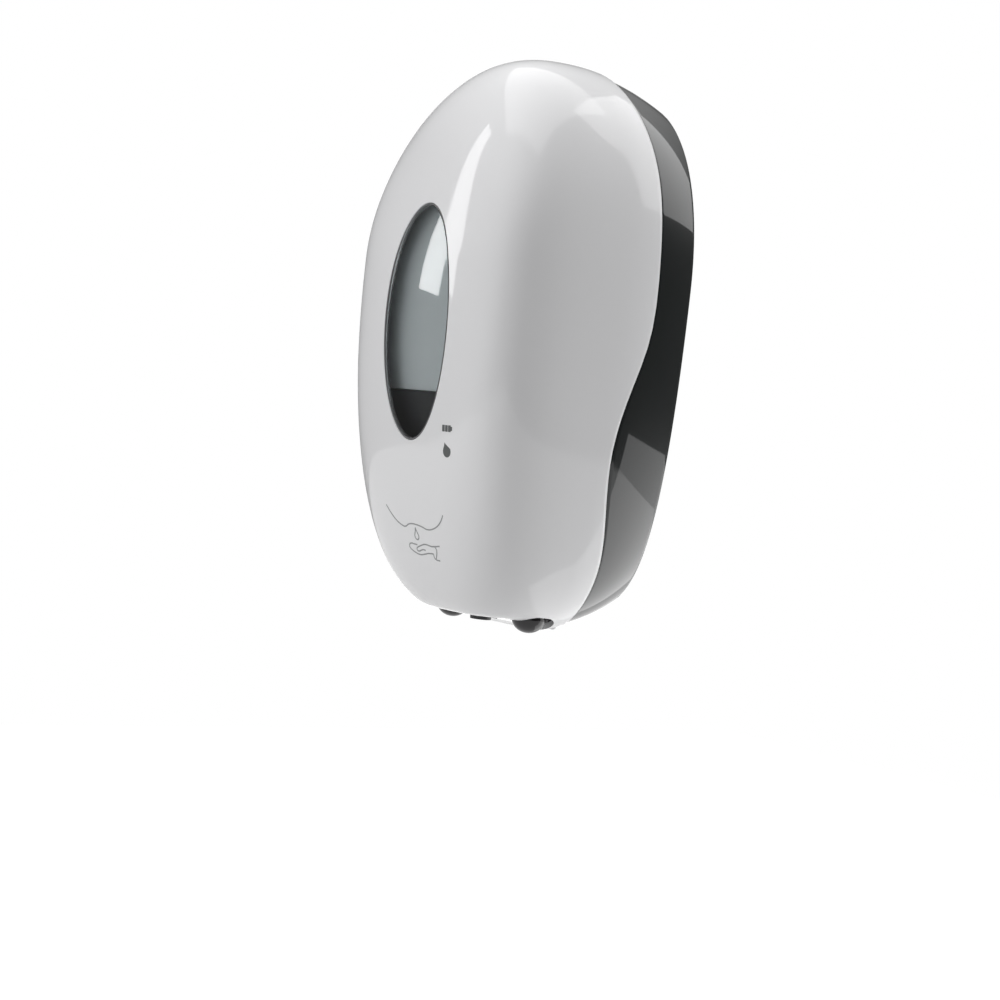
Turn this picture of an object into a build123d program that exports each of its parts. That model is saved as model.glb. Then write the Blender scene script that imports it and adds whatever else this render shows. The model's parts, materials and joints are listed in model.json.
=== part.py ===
from build123d import *
import math
import os

# Touchless hand sanitizer dispenser: an egg-shaped cover over a bottle, a gear pump and its electronics.
# Lengths are in millimetres. The origin is on the wall plane, at the centre of the four wall holes and on
# the egg's widest level. +Z is up and the front faces -Y, so a depth is a distance out from the wall.

os.makedirs("parts", exist_ok=True)

# Clearances and cuts
overrun = 5.0
body_gap = 0.3
seat_gap = 0.1
running_gap = 0.05
fixed_gap = 0.02

# Egg form of the outside
half_width = 67.0
top_height = 102.6
bottom_height = 168.6
straight_depth = 35.0
crown_depth = 81.0
taper_depth = 49.0
wall_taper_shares = (0.12, 0.084, 0.08)
crown_powers = (12, 3.7, 4)
crown_shares = (0, 0.2, 0.4, 0.56, 0.7, 0.8, 0.87, 0.92, 0.955, 0.98, 0.992)
side_top_share = 0.6
crown_top_share = 0.6
side_bottom_share = 1.0
crown_bottom_share = 0.58
overall_height = top_height + bottom_height
overall_depth = straight_depth + crown_depth

# Hollow across the underside, round the nozzle and the lenses
hollow_radius = 56.0
hollow_depth = 68.0
hollow_rise = 7.6

# Seam between the cover and the case, seen from the side: level and depth as shares of the whole
seam_gap = 0.8
seam_shares = (
    (0.394, 0.333),
    (0.296, 0.274),
    (0.185, 0.236),
    (0.036, 0.230),
    (-0.092, 0.240),
    (-0.203, 0.321),
    (-0.295, 0.358),
    (-0.387, 0.332),
    (-0.497, 0.281),
    (-0.574, 0.281),
    (-0.65, 0.281),
)

# Front cover and its window
cover_wall = 2.6
skirt_shares = (0.57, 0.8)
window_level = -28.7
window_half_width = 25.2
window_half_height = 54.7
trim_width = 1.6
icon_x = 29.0
battery_icon_level = -76.3
battery_icon_width = 5.2
battery_icon_height = 3.6
battery_tip_width = 0.7
battery_tip_height = 1.8
gel_icon_level = -87.2
gel_icon_radius = 1.9
gel_icon_tip = 4.6
gel_tip_radius = 0.25

# Rear case
case_inset = 1.2
case_wall = 2.4
case_shares = (0, 0.25, 0.5, 0.75, 1, 1.16, 1.32)
lip_inset = 3.1
lip_wall = 1.5
lip_overlap = 4.0
lip_reach = 3.0
lip_floor_rise = 26.6
wall_hole_x = 38.0
wall_hole_z = 47.5
wall_hole_radius = 2.5
wall_pad_radius = 5.5
wall_pad_height = 2.0

# Cover hinge at the lower rear edge
hinge_depth = 36.5
hinge_rise = 6.8
hinge_level = hinge_rise - bottom_height
pin_radius = 1.25
knuckle_radius = 3.2
knuckle_length = 4.0
knuckle_gap = 0.6
tongue_half_width = 23.7
tongue_radius = 8.5
tongue_gap = 0.5
lug_radius = 3.6
lug_width = 4.0
relief_radius = 6.1
relief_length = 14.3
pin_end_gap = 0.2

# Latch at the top, pushed down by a key
latch_depth = 14.0
latch_thickness = 3.0
latch_half_width = 9.0
latch_bottom = 67.0
latch_top = 90.5
tongue_half_breadth = 4.0
tongue_thickness = 2.5
tongue_end_depth = 50.0
hook_length = 3.0
hook_height = 3.5
hook_chamfer = 1.2
catch_depth = 44.0
catch_thickness = 2.5
catch_half_width = 5.0
rail_wall = 2.2
rail_overlap = 1.6
rail_lip = 2.2
rail_bottom = 60.0
rail_top = 86.0
key_slot_width = 10.0
key_slot_gap = 3.4
shelf_level = 55.0
shelf_thickness = 2.0
shelf_half_width = 6.0
shelf_depth = 20.0
spring_radius = 3.2
spring_wire = 0.45
spring_turns = 5
peg_radius = 2.2
peg_length = 2.5

# Battery box behind the bottle
cell_radius = 13.0
cell_length = 50.0
cell_nub_radius = 3.0
cell_nub_height = 1.4
cell_spacing = 27.2
cell_depth = 19.0
cell_gap = 0.2
contact_rise = 2.4
contact_thickness = 0.4
contact_half_length = 5.5
contact_width = 8.0
box_floor = 3.0
box_end_wall = 2.0
box_half_width = 32.0
box_pocket_half_width = 27.5
box_bottom = -71.0
box_front = 36.4
door_thickness = 1.8
door_half_width = 29.0
door_lip = 1.6
grip_ribs = 3
grip_rib_half_width = 9.0
grip_rib_height = 0.5
grip_rib_pitch = 3.0
grip_rib_thickness = 1.0
tab_radius = 4.2
tab_thickness = 3.0
tab_lift = 3.6
tab_reach = 4.6

# Pump housing below the bottle
inner_inset = 9.0
housing_wall = 2.4
housing_rear = 37.0
housing_top = -60.0
housing_bottom = -153.0
post_radius = 4.5
post_place_shares = ((0.7, -0.47), (0.455, -0.825))
post_gap = 0.1
boss_length = 8.0
housing_screw_recess = 24.0
housing_screw_length = 19.0
back_thickness = 2.4
outlet_depth = 58.0

# Bottle
bottle_rear = 38.5
bottle_lift_gap = 0.3
bottle_top = 61.0
bottle_wall = 1.8
bottle_neck_radius = 16.0
bottle_neck_height = 10.0
bottle_neck_wall = 1.8
cap_wall = 1.8
cap_height = 12.0
cap_knurls = 24
cap_knurl_radius = 0.9
spout_radius = 7.0
spout_bore = 4.0
spout_length = 11.3

# Socket, funnel, delivery tube and nozzle
socket_radius = 12.5
socket_length = 18.0
socket_step = 4.0
grommet_radius = 10.0
grommet_height = 6.0
funnel_height = 10.0
funnel_floor = 3.0
tube_radius = 4.0
tube_bore = 2.5
tube_seat = 3.0
nozzle_collar_radius = 8.5
nozzle_collar_height = 2.0
nozzle_radius = 6.0
nozzle_tip_radius = 5.0
nozzle_tip = -164.5
nozzle_socket = 5.5
valve_radius = 3.5
valve_flange = 3.0
valve_bill_length = 6.0
valve_bill_share = 1.3
valve_bill_thickness = 1.0
valve_slit = 0.3
nozzle_opening = 8.0

# Sensor lenses on both sides of the nozzle
sensor_x_share = 0.45
sensor_x = sensor_x_share * half_width
sensor_depth = 53.0
sensor_radius = 8.0
sensor_wall = 2.0
sensor_top = -135.0
sensor_rim = -157.0
lens_rim_height = 3.0
lens_bottom = -167.0
lens_spigot = 6.0
lens_spigot_wall = 1.5
sensor_opening_gap = 0.9
sensor_opening_slot = 4.0
led_radius = 2.5
led_length = 7.0
led_flange = 1.0
led_dome_share = 0.8
led_board_thickness = 1.5

# Gear train and gear pump
pressure_angle = 25
addendum_share = 0.85
dedendum_share = 1.15
backlash = 0.14
gear_module = 0.8
pump_module = 1.0
motor_teeth = 10
wheel_teeth = 40
small_teeth = 12
drive_teeth = 36
pump_teeth = 12
pump_level = -101.0
compound_angle = -130
motor_angle = -73.6
plate_depth = 49.0
plate_thickness = 2.0
wheel_depth = 40.2
wheel_width = 2.4
small_depth = 43.0
small_width = 4.2
drive_width = 3.6
hub_radius = 4.0
shaft_radius = 1.5
motor_shaft_radius = 1.0
pump_wall = 3.0
pump_gear_width = 8.0
pump_cover_thickness = 3.0
pump_half_width = 17.5
pump_half_height = 12.5
pump_screw_x = 13.5
pump_screw_z = 9.5
chamber_gap = 0.1
motor_radius = 10.0
motor_half_flat = 7.7
motor_length = 25.0
motor_boss_radius = 3.0
motor_boss_height = 1.2
motor_terminal_offset = 5.0
motor_terminal_length = 3.0
motor_terminal_width = 2.0
motor_terminal_thickness = 0.6
motor_screw_offset = 7.0
standoff_radius = 3.2
standoff_places = ((-33.0, -91.0), (17.0, -91.0), (17.0, -122.0), (-2.0, -142.0))

# Control board, light pipes and power switch
board_depth = 86.0
board_thickness = 1.6
board_half_width = 32.0
board_top = -69.0
board_bottom = -114.0
board_corner = 3.0
board_posts = ((-27.0, -73.5), (15.0, -73.5), (0.0, -110.0))
board_post_radius = 3.0
chip_size = 9.0
chip_height = 1.6
capacitor_radius = 4.0
capacitor_height = 9.0
plug_length = 12.0
plug_width = 5.0
plug_height = 6.0
pipe_radius = 1.5
pipe_end_depth = 100.6
switch_x = -22.0
switch_level = -100.0
switch_floor_depth = 94.5
switch_floor = 2.4
switch_pocket_width = 22.0
switch_pocket_height = 10.0
switch_half_width = 9.0
switch_half_height = 4.0
knob_half_width = 2.5
knob_half_height = 2.0
knob_travel = 4.0
knob_depth = 90.0
knob_end_depth = 97.5
knob_flange = 1.0
knob_flange_thickness = 1.2

# Screws
screw_radius = 1.4
screw_head_radius = 2.8
screw_head_height = 1.8
small_screw_radius = 1.0
small_head_radius = 1.9
small_head_height = 1.3
small_screw_length = 5.0


def form_size(depth, inset=0):
    """Half width of the egg at a depth, and its heights above and below the widest level."""
    back = max(0, 1 - depth / taper_depth)
    ahead = max(0, (depth - straight_depth) / (crown_depth - inset))
    sizes = []
    for size, taper, power in zip((half_width, top_height, bottom_height), wall_taper_shares, crown_powers):
        sizes.append((size - inset) * (1 - taper * back**2) * math.sqrt(1 - ahead**power))
    return sizes


def egg_outline(depth, inset=0):
    """Draw the egg's outline at a depth as four Bezier quarters."""
    wide, above, below = form_size(depth, inset)
    corners = [
        (wide, 0),
        (wide, side_top_share * above),
        (crown_top_share * wide, above),
        (0, above),
        (-crown_top_share * wide, above),
        (-wide, side_top_share * above),
        (-wide, 0),
        (-wide, -side_bottom_share * below),
        (-crown_bottom_share * wide, -below),
        (0, -below),
        (crown_bottom_share * wide, -below),
        (wide, -side_bottom_share * below),
    ]
    for start in range(0, len(corners), 3):
        Bezier(*[corners[(start + step) % len(corners)] for step in range(4)])


def egg(depths, inset=0, mode=Mode.ADD):
    """Loft the egg's outlines at these depths, drawn in by the inset."""
    sections = []
    for depth in depths:
        with BuildSketch(Plane.XZ.offset(depth)) as section:
            with BuildLine():
                egg_outline(depth, inset)
            make_face()
        sections.append(section.sketch)
    loft(sections, mode=mode)


def hollow(radius):
    """Cut the underside with the cylinder that lies across it."""
    with BuildSketch(Plane.YZ) as section:
        with Locations((-hollow_depth, hollow_rise - bottom_height - hollow_radius)):
            Circle(radius)
    extrude(section.sketch, amount=half_width + overrun, both=True, mode=Mode.SUBTRACT)


def crown_depths(inset):
    return [straight_depth + share * (crown_depth - inset) for share in crown_shares]


def cover_depths(inset):
    return [share * straight_depth - inset for share in skirt_shares] + crown_depths(inset)


def case_depths(first):
    return [first] + [share * straight_depth for share in case_shares if share * straight_depth > first]


def seam_region(far_depth, shift, mode=Mode.INTERSECT):
    """Keep what lies between the seam, moved forward by the shift, and a plane at the far depth."""
    with BuildSketch(Plane.YZ) as section:
        with BuildLine():
            points = [(-(deep * overall_depth + shift), high * overall_height) for high, deep in seam_shares]
            seam = Spline(*points)
            Polyline(seam @ 1, (-far_depth, (seam @ 1).Y), (-far_depth, (seam @ 0).Y), seam @ 0)
        make_face()
    extrude(section.sketch, amount=half_width + overrun, both=True, mode=mode)


def front(depth):
    """Plane parallel to the wall whose normal points to the front, with X and Z as its axes."""
    return Plane.XZ.offset(depth)


def block(width, height, near, far, x=0, z=0, mode=Mode.ADD):
    """Box between two depths, centred on x and z."""
    with BuildSketch(front(near)) as section:
        with Locations((x, z)):
            Rectangle(width, height)
    extrude(section.sketch, amount=far - near, mode=mode)


def rod(radius, near, far, x=0, z=0, mode=Mode.ADD):
    """Cylinder square to the wall between two depths."""
    with BuildSketch(front(near)) as section:
        with Locations((x, z)):
            Circle(radius)
    extrude(section.sketch, amount=far - near, mode=mode)


def post(radius, low, high, x=0, depth=outlet_depth, mode=Mode.ADD):
    """Upright cylinder between two levels."""
    with BuildSketch(Plane.XY.offset(low)) as section:
        with Locations((x, -depth)):
            Circle(radius)
    extrude(section.sketch, amount=high - low, mode=mode)


def slab(low, high, mode=Mode.INTERSECT):
    """Keep what lies between two levels."""
    with BuildSketch(Plane.XY.offset(low)) as section:
        with Locations((0, -overall_depth / 2)):
            Rectangle(2 * half_width + overrun, overall_depth + 2 * overrun)
    extrude(section.sketch, amount=high - low, mode=mode)


def screw(x, z, head, length, radius, head_radius, head_height, inward=1):
    """Pan-head screw whose head bears at a depth; inward is 1 when its shank runs away from the wall."""
    rod(head_radius, head - inward * head_height, head, x, z)
    rod(radius, head, head + inward * length, x, z)


# Cover form and shell, shared by the cover and the pieces let into it
with BuildPart() as cover_core:
    egg(cover_depths(cover_wall), cover_wall)
    hollow(hollow_radius + cover_wall)

with BuildPart() as cover_shell:
    egg(cover_depths(0))
    hollow(hollow_radius)
    add(cover_core.part, mode=Mode.SUBTRACT)


def window_oval(margin, mode):
    """Cut or keep the window's oval, drawn in by a margin."""
    with BuildSketch(front(straight_depth)) as section:
        with Locations((0, window_level)):
            Ellipse(window_half_width - margin, window_half_height - margin)
    extrude(section.sketch, amount=crown_depth + overrun, mode=mode)


def battery_icon(margin, mode):
    """Battery outline with its tip, grown by a margin."""
    with BuildSketch(front(straight_depth)) as section:
        with Locations((icon_x, battery_icon_level)):
            Rectangle(battery_icon_width + 2 * margin, battery_icon_height + 2 * margin)
        with Locations((icon_x + (battery_icon_width + battery_tip_width) / 2, battery_icon_level)):
            Rectangle(battery_tip_width + 2 * margin, battery_tip_height + 2 * margin)
    extrude(section.sketch, amount=crown_depth + overrun, mode=mode)


def gel_icon(margin, mode):
    """Drop outline, grown by a margin."""
    with BuildSketch(front(straight_depth)) as section:
        with Locations((icon_x, gel_icon_level)):
            Circle(gel_icon_radius + margin)
        with Locations((icon_x, gel_icon_level + gel_icon_tip - gel_tip_radius)):
            Circle(gel_tip_radius + margin)
        make_hull()
    extrude(section.sketch, amount=crown_depth + overrun, mode=mode)


def hinge_bar(radius, start, length, mode=Mode.ADD):
    """Cylinder on the hinge axis on both sides, from start outwards."""
    for side in (-1, 1):
        with BuildSketch(Plane.YZ.offset(side * start)) as section:
            with Locations((-hinge_depth, hinge_level)):
                Circle(radius)
        extrude(section.sketch, amount=side * length, mode=mode)


def sensor_openings(mode):
    """Arch openings round the two sensor lenses, longer to the rear for the cover's swing."""
    with BuildSketch(Plane.XY.offset(-bottom_height - overrun)) as section:
        for side in (-1, 1):
            with Locations((side * sensor_x, -sensor_depth), (side * sensor_x, sensor_opening_slot - sensor_depth)):
                Circle(sensor_radius + sensor_opening_gap)
            with Locations((side * sensor_x, sensor_opening_slot / 2 - sensor_depth)):
                Rectangle(2 * (sensor_radius + sensor_opening_gap), sensor_opening_slot)
    extrude(section.sketch, amount=bottom_height + sensor_top, mode=mode)


# Front cover
knuckle_start = tongue_half_width + knuckle_gap
catch_bottom = latch_top + hook_height + body_gap
with BuildPart() as cover_fittings:
    hinge_bar(knuckle_radius, knuckle_start, knuckle_length)
    with BuildSketch(Plane.XY.offset(catch_bottom)):
        with Locations((0, -catch_depth - catch_thickness / 2)):
            Rectangle(2 * catch_half_width, catch_thickness)
    extrude(amount=top_height - catch_bottom)
    egg(cover_depths(cover_wall / 2), cover_wall / 2, Mode.INTERSECT)

with BuildPart() as front_cover:
    add(cover_shell.part)
    seam_region(overall_depth + overrun, seam_gap / 2)
    add(cover_fittings.part)
    window_oval(0, Mode.SUBTRACT)
    battery_icon(0, Mode.SUBTRACT)
    gel_icon(0, Mode.SUBTRACT)
    sensor_openings(Mode.SUBTRACT)
    post(nozzle_opening, -bottom_height - overrun, nozzle_tip + socket_radius, mode=Mode.SUBTRACT)
    hinge_bar(tongue_radius + tongue_gap, 0, knuckle_start, Mode.SUBTRACT)
    hinge_bar(pin_radius + running_gap, knuckle_start - knuckle_gap, knuckle_length + knuckle_gap, Mode.SUBTRACT)
front_cover.part.label = "front_cover"
export_step(front_cover.part, "parts/front_cover.step")

# Trim ring and clear panel of the window
with BuildPart() as window_trim:
    add(cover_shell.part)
    window_oval(fixed_gap, Mode.INTERSECT)
    window_oval(trim_width, Mode.SUBTRACT)
window_trim.part.label = "window_trim"
export_step(window_trim.part, "parts/window_trim.step")

with BuildPart() as window_lens:
    add(cover_shell.part)
    window_oval(trim_width + fixed_gap, Mode.INTERSECT)
window_lens.part.label = "window_lens"
export_step(window_lens.part, "parts/window_lens.step")

# Light windows for the battery and the gel level
with BuildPart() as battery_indicator:
    add(cover_shell.part)
    battery_icon(-fixed_gap, Mode.INTERSECT)
battery_indicator.part.label = "battery_indicator"
export_step(battery_indicator.part, "parts/battery_indicator.step")

with BuildPart() as gel_indicator:
    add(cover_shell.part)
    gel_icon(-fixed_gap, Mode.INTERSECT)
gel_indicator.part.label = "gel_indicator"
export_step(gel_indicator.part, "parts/gel_indicator.step")

# Shell of the case
with BuildPart() as case_shell:
    egg(case_depths(0), case_inset)
    egg(case_depths(case_wall), case_inset + case_wall, Mode.SUBTRACT)

# What the case keeps of its shell: all behind the seam, and a tongue under the hinge axis
with BuildPart() as case_region:
    seam_region(-overrun, -seam_gap / 2, Mode.ADD)
    with BuildSketch(Plane.YZ):
        with Locations((-hinge_depth, hinge_level)):
            Circle(tongue_radius)
    extrude(amount=tongue_half_width, both=True)

# Lugs of the hinge pins on the tongue
with BuildPart() as case_lugs:
    for side in (-1, 1):
        with BuildSketch(Plane.YZ.offset(side * tongue_half_width)):
            with Locations((-hinge_depth, hinge_level)):
                Circle(lug_radius)
            with Locations((-hinge_depth, hinge_level - tongue_radius / 2)):
                Rectangle(2 * lug_radius, tongue_radius)
        extrude(amount=-side * lug_width)
    egg(case_depths(case_wall / 2), case_inset + case_wall / 2, Mode.INTERSECT)

# Rim lip that runs inside the cover's edge
with BuildPart() as case_rim:
    egg(case_depths(0), lip_inset)
    egg(case_depths(0), lip_inset + lip_wall, Mode.SUBTRACT)
    seam_region(overall_depth, -lip_overlap)
    seam_region(-overrun, lip_reach)
    slab(lip_floor_rise - bottom_height, top_height)

# Rear case
box_top = box_bottom + 2 * box_end_wall + 2 * contact_rise + 2 * (cell_length + cell_gap)
tab_levels = (box_top + tab_reach, box_bottom - tab_reach)
wall_holes = [(x, z) for x in (-wall_hole_x, wall_hole_x) for z in (-wall_hole_z, wall_hole_z)]
post_places = [(x * half_width, z * bottom_height) for x, z in post_place_shares]
case_posts = [(side * x, z) for x, z in post_places for side in (-1, 1)]
post_end = housing_rear - body_gap
rail_half_width = latch_half_width + body_gap
latch_front = latch_depth + latch_thickness
rail_front = latch_front + body_gap + rail_lip
with BuildPart() as rear_case:
    add(case_shell.part)
    add(case_region.part, mode=Mode.INTERSECT)
    add(case_rim.part)
    add(case_lugs.part)
    for x, z in wall_holes:
        rod(wall_pad_radius, 0, case_wall + wall_pad_height, x, z)
    for x, z in case_posts:
        rod(post_radius, 0, post_end, x, z)
    for z in tab_levels:
        rod(tab_radius, 0, case_wall + tab_lift, 0, z)
    # rails that guide the latch, and the shelf under its spring
    for side in (-1, 1):
        block(
            rail_wall + rail_overlap,
            rail_top - rail_bottom,
            0,
            rail_front,
            side * (rail_half_width + (rail_wall - rail_overlap) / 2),
            (rail_top + rail_bottom) / 2,
        )
    block(
        2 * rail_half_width,
        rail_top - rail_bottom + 2 * overrun,
        latch_depth - body_gap,
        latch_front + body_gap,
        0,
        (rail_top + rail_bottom) / 2,
        Mode.SUBTRACT,
    )
    block(2 * shelf_half_width, shelf_thickness, 0, shelf_depth, 0, shelf_level - shelf_thickness / 2)
    for x, z in wall_holes:
        rod(wall_hole_radius, -overrun, overrun + case_wall, x, z, Mode.SUBTRACT)
    for x, z in case_posts:
        rod(screw_radius + seat_gap, -overrun, post_end + overrun, x, z, Mode.SUBTRACT)
        rod(screw_head_radius + seat_gap, -overrun, housing_screw_recess, x, z, Mode.SUBTRACT)
    for z in tab_levels:
        rod(small_screw_radius + fixed_gap, case_wall / 2, 2 * tab_radius, 0, z, Mode.SUBTRACT)
    with BuildSketch(Plane.XY.offset(latch_top)):
        with Locations((0, -latch_depth - latch_thickness / 2)):
            Rectangle(key_slot_width, key_slot_gap)
    extrude(amount=top_height, mode=Mode.SUBTRACT)
    hinge_bar(relief_radius, tongue_half_width, relief_length, Mode.SUBTRACT)
    hinge_bar(pin_radius + fixed_gap, tongue_half_width - lug_width, lug_width + overrun, Mode.SUBTRACT)
rear_case.part.label = "rear_case"
export_step(rear_case.part, "parts/rear_case.step")

with BuildPart() as hinge_pins:
    hinge_bar(pin_radius, tongue_half_width - lug_width, lug_width + knuckle_gap + knuckle_length - pin_end_gap)
hinge_pins.part.label = "hinge_pins"
export_step(hinge_pins.part, "parts/hinge_pins.step")

# Latch and its spring
with BuildPart() as latch:
    block(
        2 * latch_half_width,
        latch_top - latch_bottom,
        latch_depth,
        latch_front,
        0,
        (latch_top + latch_bottom) / 2,
    )
    with BuildSketch(Plane.YZ.offset(-tongue_half_breadth)):
        with BuildLine():
            Polyline(
                (-latch_front, latch_top - tongue_thickness),
                (-tongue_end_depth, latch_top - tongue_thickness),
                (-tongue_end_depth, latch_top + hook_height - hook_chamfer),
                (hook_chamfer - tongue_end_depth, latch_top + hook_height),
                (hook_length - tongue_end_depth, latch_top + hook_height),
                (hook_length - tongue_end_depth, latch_top),
                (-latch_front, latch_top),
                close=True,
            )
        make_face()
    extrude(amount=2 * tongue_half_breadth)
    post(peg_radius, latch_bottom - peg_length, latch_bottom, 0, latch_depth + latch_thickness / 2)
latch.part.label = "latch"
export_step(latch.part, "parts/latch.step")

spring_height = latch_bottom - shelf_level - 2 * spring_wire - 2 * fixed_gap
with BuildPart() as latch_spring:
    with BuildLine(Plane((0, -latch_depth - latch_thickness / 2, shelf_level + spring_wire + fixed_gap))):
        coil = Helix(spring_height / spring_turns, spring_height, spring_radius)
    with BuildSketch(Plane(origin=coil @ 0, z_dir=coil % 0)):
        RegularPolygon(spring_wire, 6)
    sweep(path=coil, is_frenet=True)
latch_spring.part.label = "latch_spring"
export_step(latch_spring.part, "parts/latch_spring.step")

# Battery box with its door, contacts and four cells
box_rear = case_wall + fixed_gap
groove_rear = box_front - door_lip - door_thickness - 2 * seat_gap
groove_front = box_front - door_lip
with BuildPart() as battery_box:
    block(2 * box_half_width, box_top - box_bottom, box_rear, box_front, 0, (box_top + box_bottom) / 2)
    block(
        2 * box_pocket_half_width,
        box_top - box_bottom - 2 * box_end_wall,
        box_rear + box_floor,
        box_front + overrun,
        0,
        (box_top + box_bottom) / 2,
        Mode.SUBTRACT,
    )
    block(
        2 * (door_half_width + seat_gap),
        box_top - box_bottom,
        groove_rear,
        groove_front,
        0,
        (box_top + box_bottom) / 2 + box_end_wall,
        Mode.SUBTRACT,
    )
    block(
        2 * box_pocket_half_width,
        box_top - box_bottom,
        groove_rear,
        box_front + overrun,
        0,
        (box_top + box_bottom) / 2 + box_end_wall,
        Mode.SUBTRACT,
    )
    for z, side in zip(tab_levels, (-1, 1)):
        rod(tab_radius, case_wall + tab_lift + fixed_gap, case_wall + tab_lift + tab_thickness, 0, z)
        block(
            2 * tab_radius,
            tab_reach,
            case_wall + tab_lift + fixed_gap,
            case_wall + tab_lift + tab_thickness,
            0,
            z + side * tab_reach / 2,
        )
        rod(small_screw_radius + seat_gap, case_wall, 2 * tab_radius + case_wall, 0, z, Mode.SUBTRACT)
battery_box.part.label = "battery_box"
export_step(battery_box.part, "parts/battery_box.step")

door_bottom = box_bottom + box_end_wall + seat_gap
door_rear = groove_rear + seat_gap
with BuildPart() as battery_door:
    block(
        2 * door_half_width,
        box_top - door_bottom,
        door_rear,
        door_rear + door_thickness,
        0,
        (box_top + door_bottom) / 2,
    )
    for rib in range(grip_ribs):
        block(
            2 * grip_rib_half_width,
            grip_rib_thickness,
            door_rear + door_thickness,
            door_rear + door_thickness + grip_rib_height,
            0,
            box_top - cell_radius - rib * grip_rib_pitch,
        )
battery_door.part.label = "battery_door"
export_step(battery_door.part, "parts/battery_door.step")

cells_bottom = box_bottom + box_end_wall + contact_rise + cell_gap / 2
contact_levels = ((box_bottom + box_end_wall, 1), (box_top - box_end_wall, -1))
with BuildPart() as battery_contacts:
    for x in (-cell_spacing / 2, cell_spacing / 2):
        for z, side in contact_levels:
            with BuildSketch(front(cell_depth - contact_width / 2)):
                with BuildLine():
                    outer_arc = ThreePointArc(
                        (x - contact_half_length, z),
                        (x, z + side * contact_rise),
                        (x + contact_half_length, z),
                    )
                    inner_arc = ThreePointArc(
                        (x - contact_half_length + contact_thickness, z),
                        (x, z + side * (contact_rise - contact_thickness)),
                        (x + contact_half_length - contact_thickness, z),
                    )
                    Line(outer_arc @ 0, inner_arc @ 0)
                    Line(outer_arc @ 1, inner_arc @ 1)
                make_face()
            extrude(amount=contact_width)
battery_contacts.part.label = "battery_contacts"
export_step(battery_contacts.part, "parts/battery_contacts.step")

for number in range(4):
    column, row = number % 2, number // 2
    cell_x = (column - 0.5) * cell_spacing
    cell_low = cells_bottom + row * (cell_length + cell_gap)
    body_low = cell_low + column * cell_nub_height
    nub_low = cell_low + (1 - column) * (cell_length - cell_nub_height)
    with BuildPart() as cell:
        post(cell_radius, body_low, body_low + cell_length - cell_nub_height, cell_x, cell_depth)
        post(cell_nub_radius, nub_low, nub_low + cell_nub_height, cell_x, cell_depth)
    cell.part.label = f"battery_cell_{number + 1}"
    export_step(cell.part, f"parts/battery_cell_{number + 1}.step")

with BuildPart() as battery_box_screws:
    for z in tab_levels:
        screw(
            0,
            z,
            case_wall + tab_lift + tab_thickness + seat_gap,
            tab_thickness + tab_lift,
            small_screw_radius,
            small_head_radius,
            small_head_height,
            -1,
        )
battery_box_screws.part.label = "battery_box_screws"
export_step(battery_box_screws.part, "parts/battery_box_screws.step")

# Bottle, formed like the egg with a flat back, top and floor
bottle_floor = housing_top + bottle_lift_gap
with BuildPart() as bottle_core:
    egg(cover_depths(inner_inset + bottle_wall), inner_inset + bottle_wall)
    block(
        2 * half_width,
        overall_height,
        bottle_rear + bottle_wall,
        overall_depth,
        0,
        (top_height - bottom_height) / 2,
        Mode.INTERSECT,
    )
    slab(bottle_floor + bottle_wall, bottle_top - bottle_wall)

with BuildPart() as bottle:
    egg(cover_depths(inner_inset), inner_inset)
    block(
        2 * half_width,
        overall_height,
        bottle_rear,
        overall_depth,
        0,
        (top_height - bottom_height) / 2,
        Mode.INTERSECT,
    )
    slab(bottle_floor, bottle_top)
    post(bottle_neck_radius, bottle_top, bottle_top + bottle_neck_height)
    post(spout_radius, bottle_floor - spout_length, bottle_floor)
    add(bottle_core.part, mode=Mode.SUBTRACT)
    post(
        bottle_neck_radius - bottle_neck_wall,
        bottle_top - 2 * bottle_wall,
        bottle_top + bottle_neck_height + overrun,
        mode=Mode.SUBTRACT,
    )
    post(spout_bore, bottle_floor - spout_length - overrun, bottle_floor + 2 * bottle_wall, mode=Mode.SUBTRACT)
bottle.part.label = "bottle"
export_step(bottle.part, "parts/bottle.step")

cap_low = bottle_top + body_gap
cap_radius = bottle_neck_radius + body_gap + cap_wall
with BuildPart() as bottle_cap:
    post(cap_radius, cap_low, cap_low + cap_height)
    post(bottle_neck_radius + body_gap, cap_low, bottle_top + bottle_neck_height + seat_gap, mode=Mode.SUBTRACT)
    with BuildSketch(Plane.XY.offset(cap_low)):
        with Locations((0, -outlet_depth)):
            with PolarLocations(cap_radius, cap_knurls):
                Circle(cap_knurl_radius)
    extrude(amount=cap_height, mode=Mode.SUBTRACT)
bottle_cap.part.label = "bottle_cap"
export_step(bottle_cap.part, "parts/bottle_cap.step")

# Pump housing with the bottle's socket, screw bosses, board posts and sensor barrels
socket_bottom = housing_top - socket_length
grommet_top = housing_top - socket_step - seat_gap
grommet_seat_radius = grommet_radius + seat_gap
housing_screw_places = [(x, z) for x, z in case_posts]
boss_start = housing_rear + back_thickness + 2 * seat_gap
with BuildPart() as housing_form:
    egg(cover_depths(inner_inset), inner_inset)
    block(
        2 * half_width,
        overall_height,
        housing_rear,
        overall_depth,
        0,
        (top_height - bottom_height) / 2,
        Mode.INTERSECT,
    )
    slab(housing_bottom, housing_top)

with BuildPart() as housing_hollow:
    egg(cover_depths(inner_inset + housing_wall), inner_inset + housing_wall)
    slab(housing_bottom + housing_wall, housing_top - housing_wall)

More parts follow.
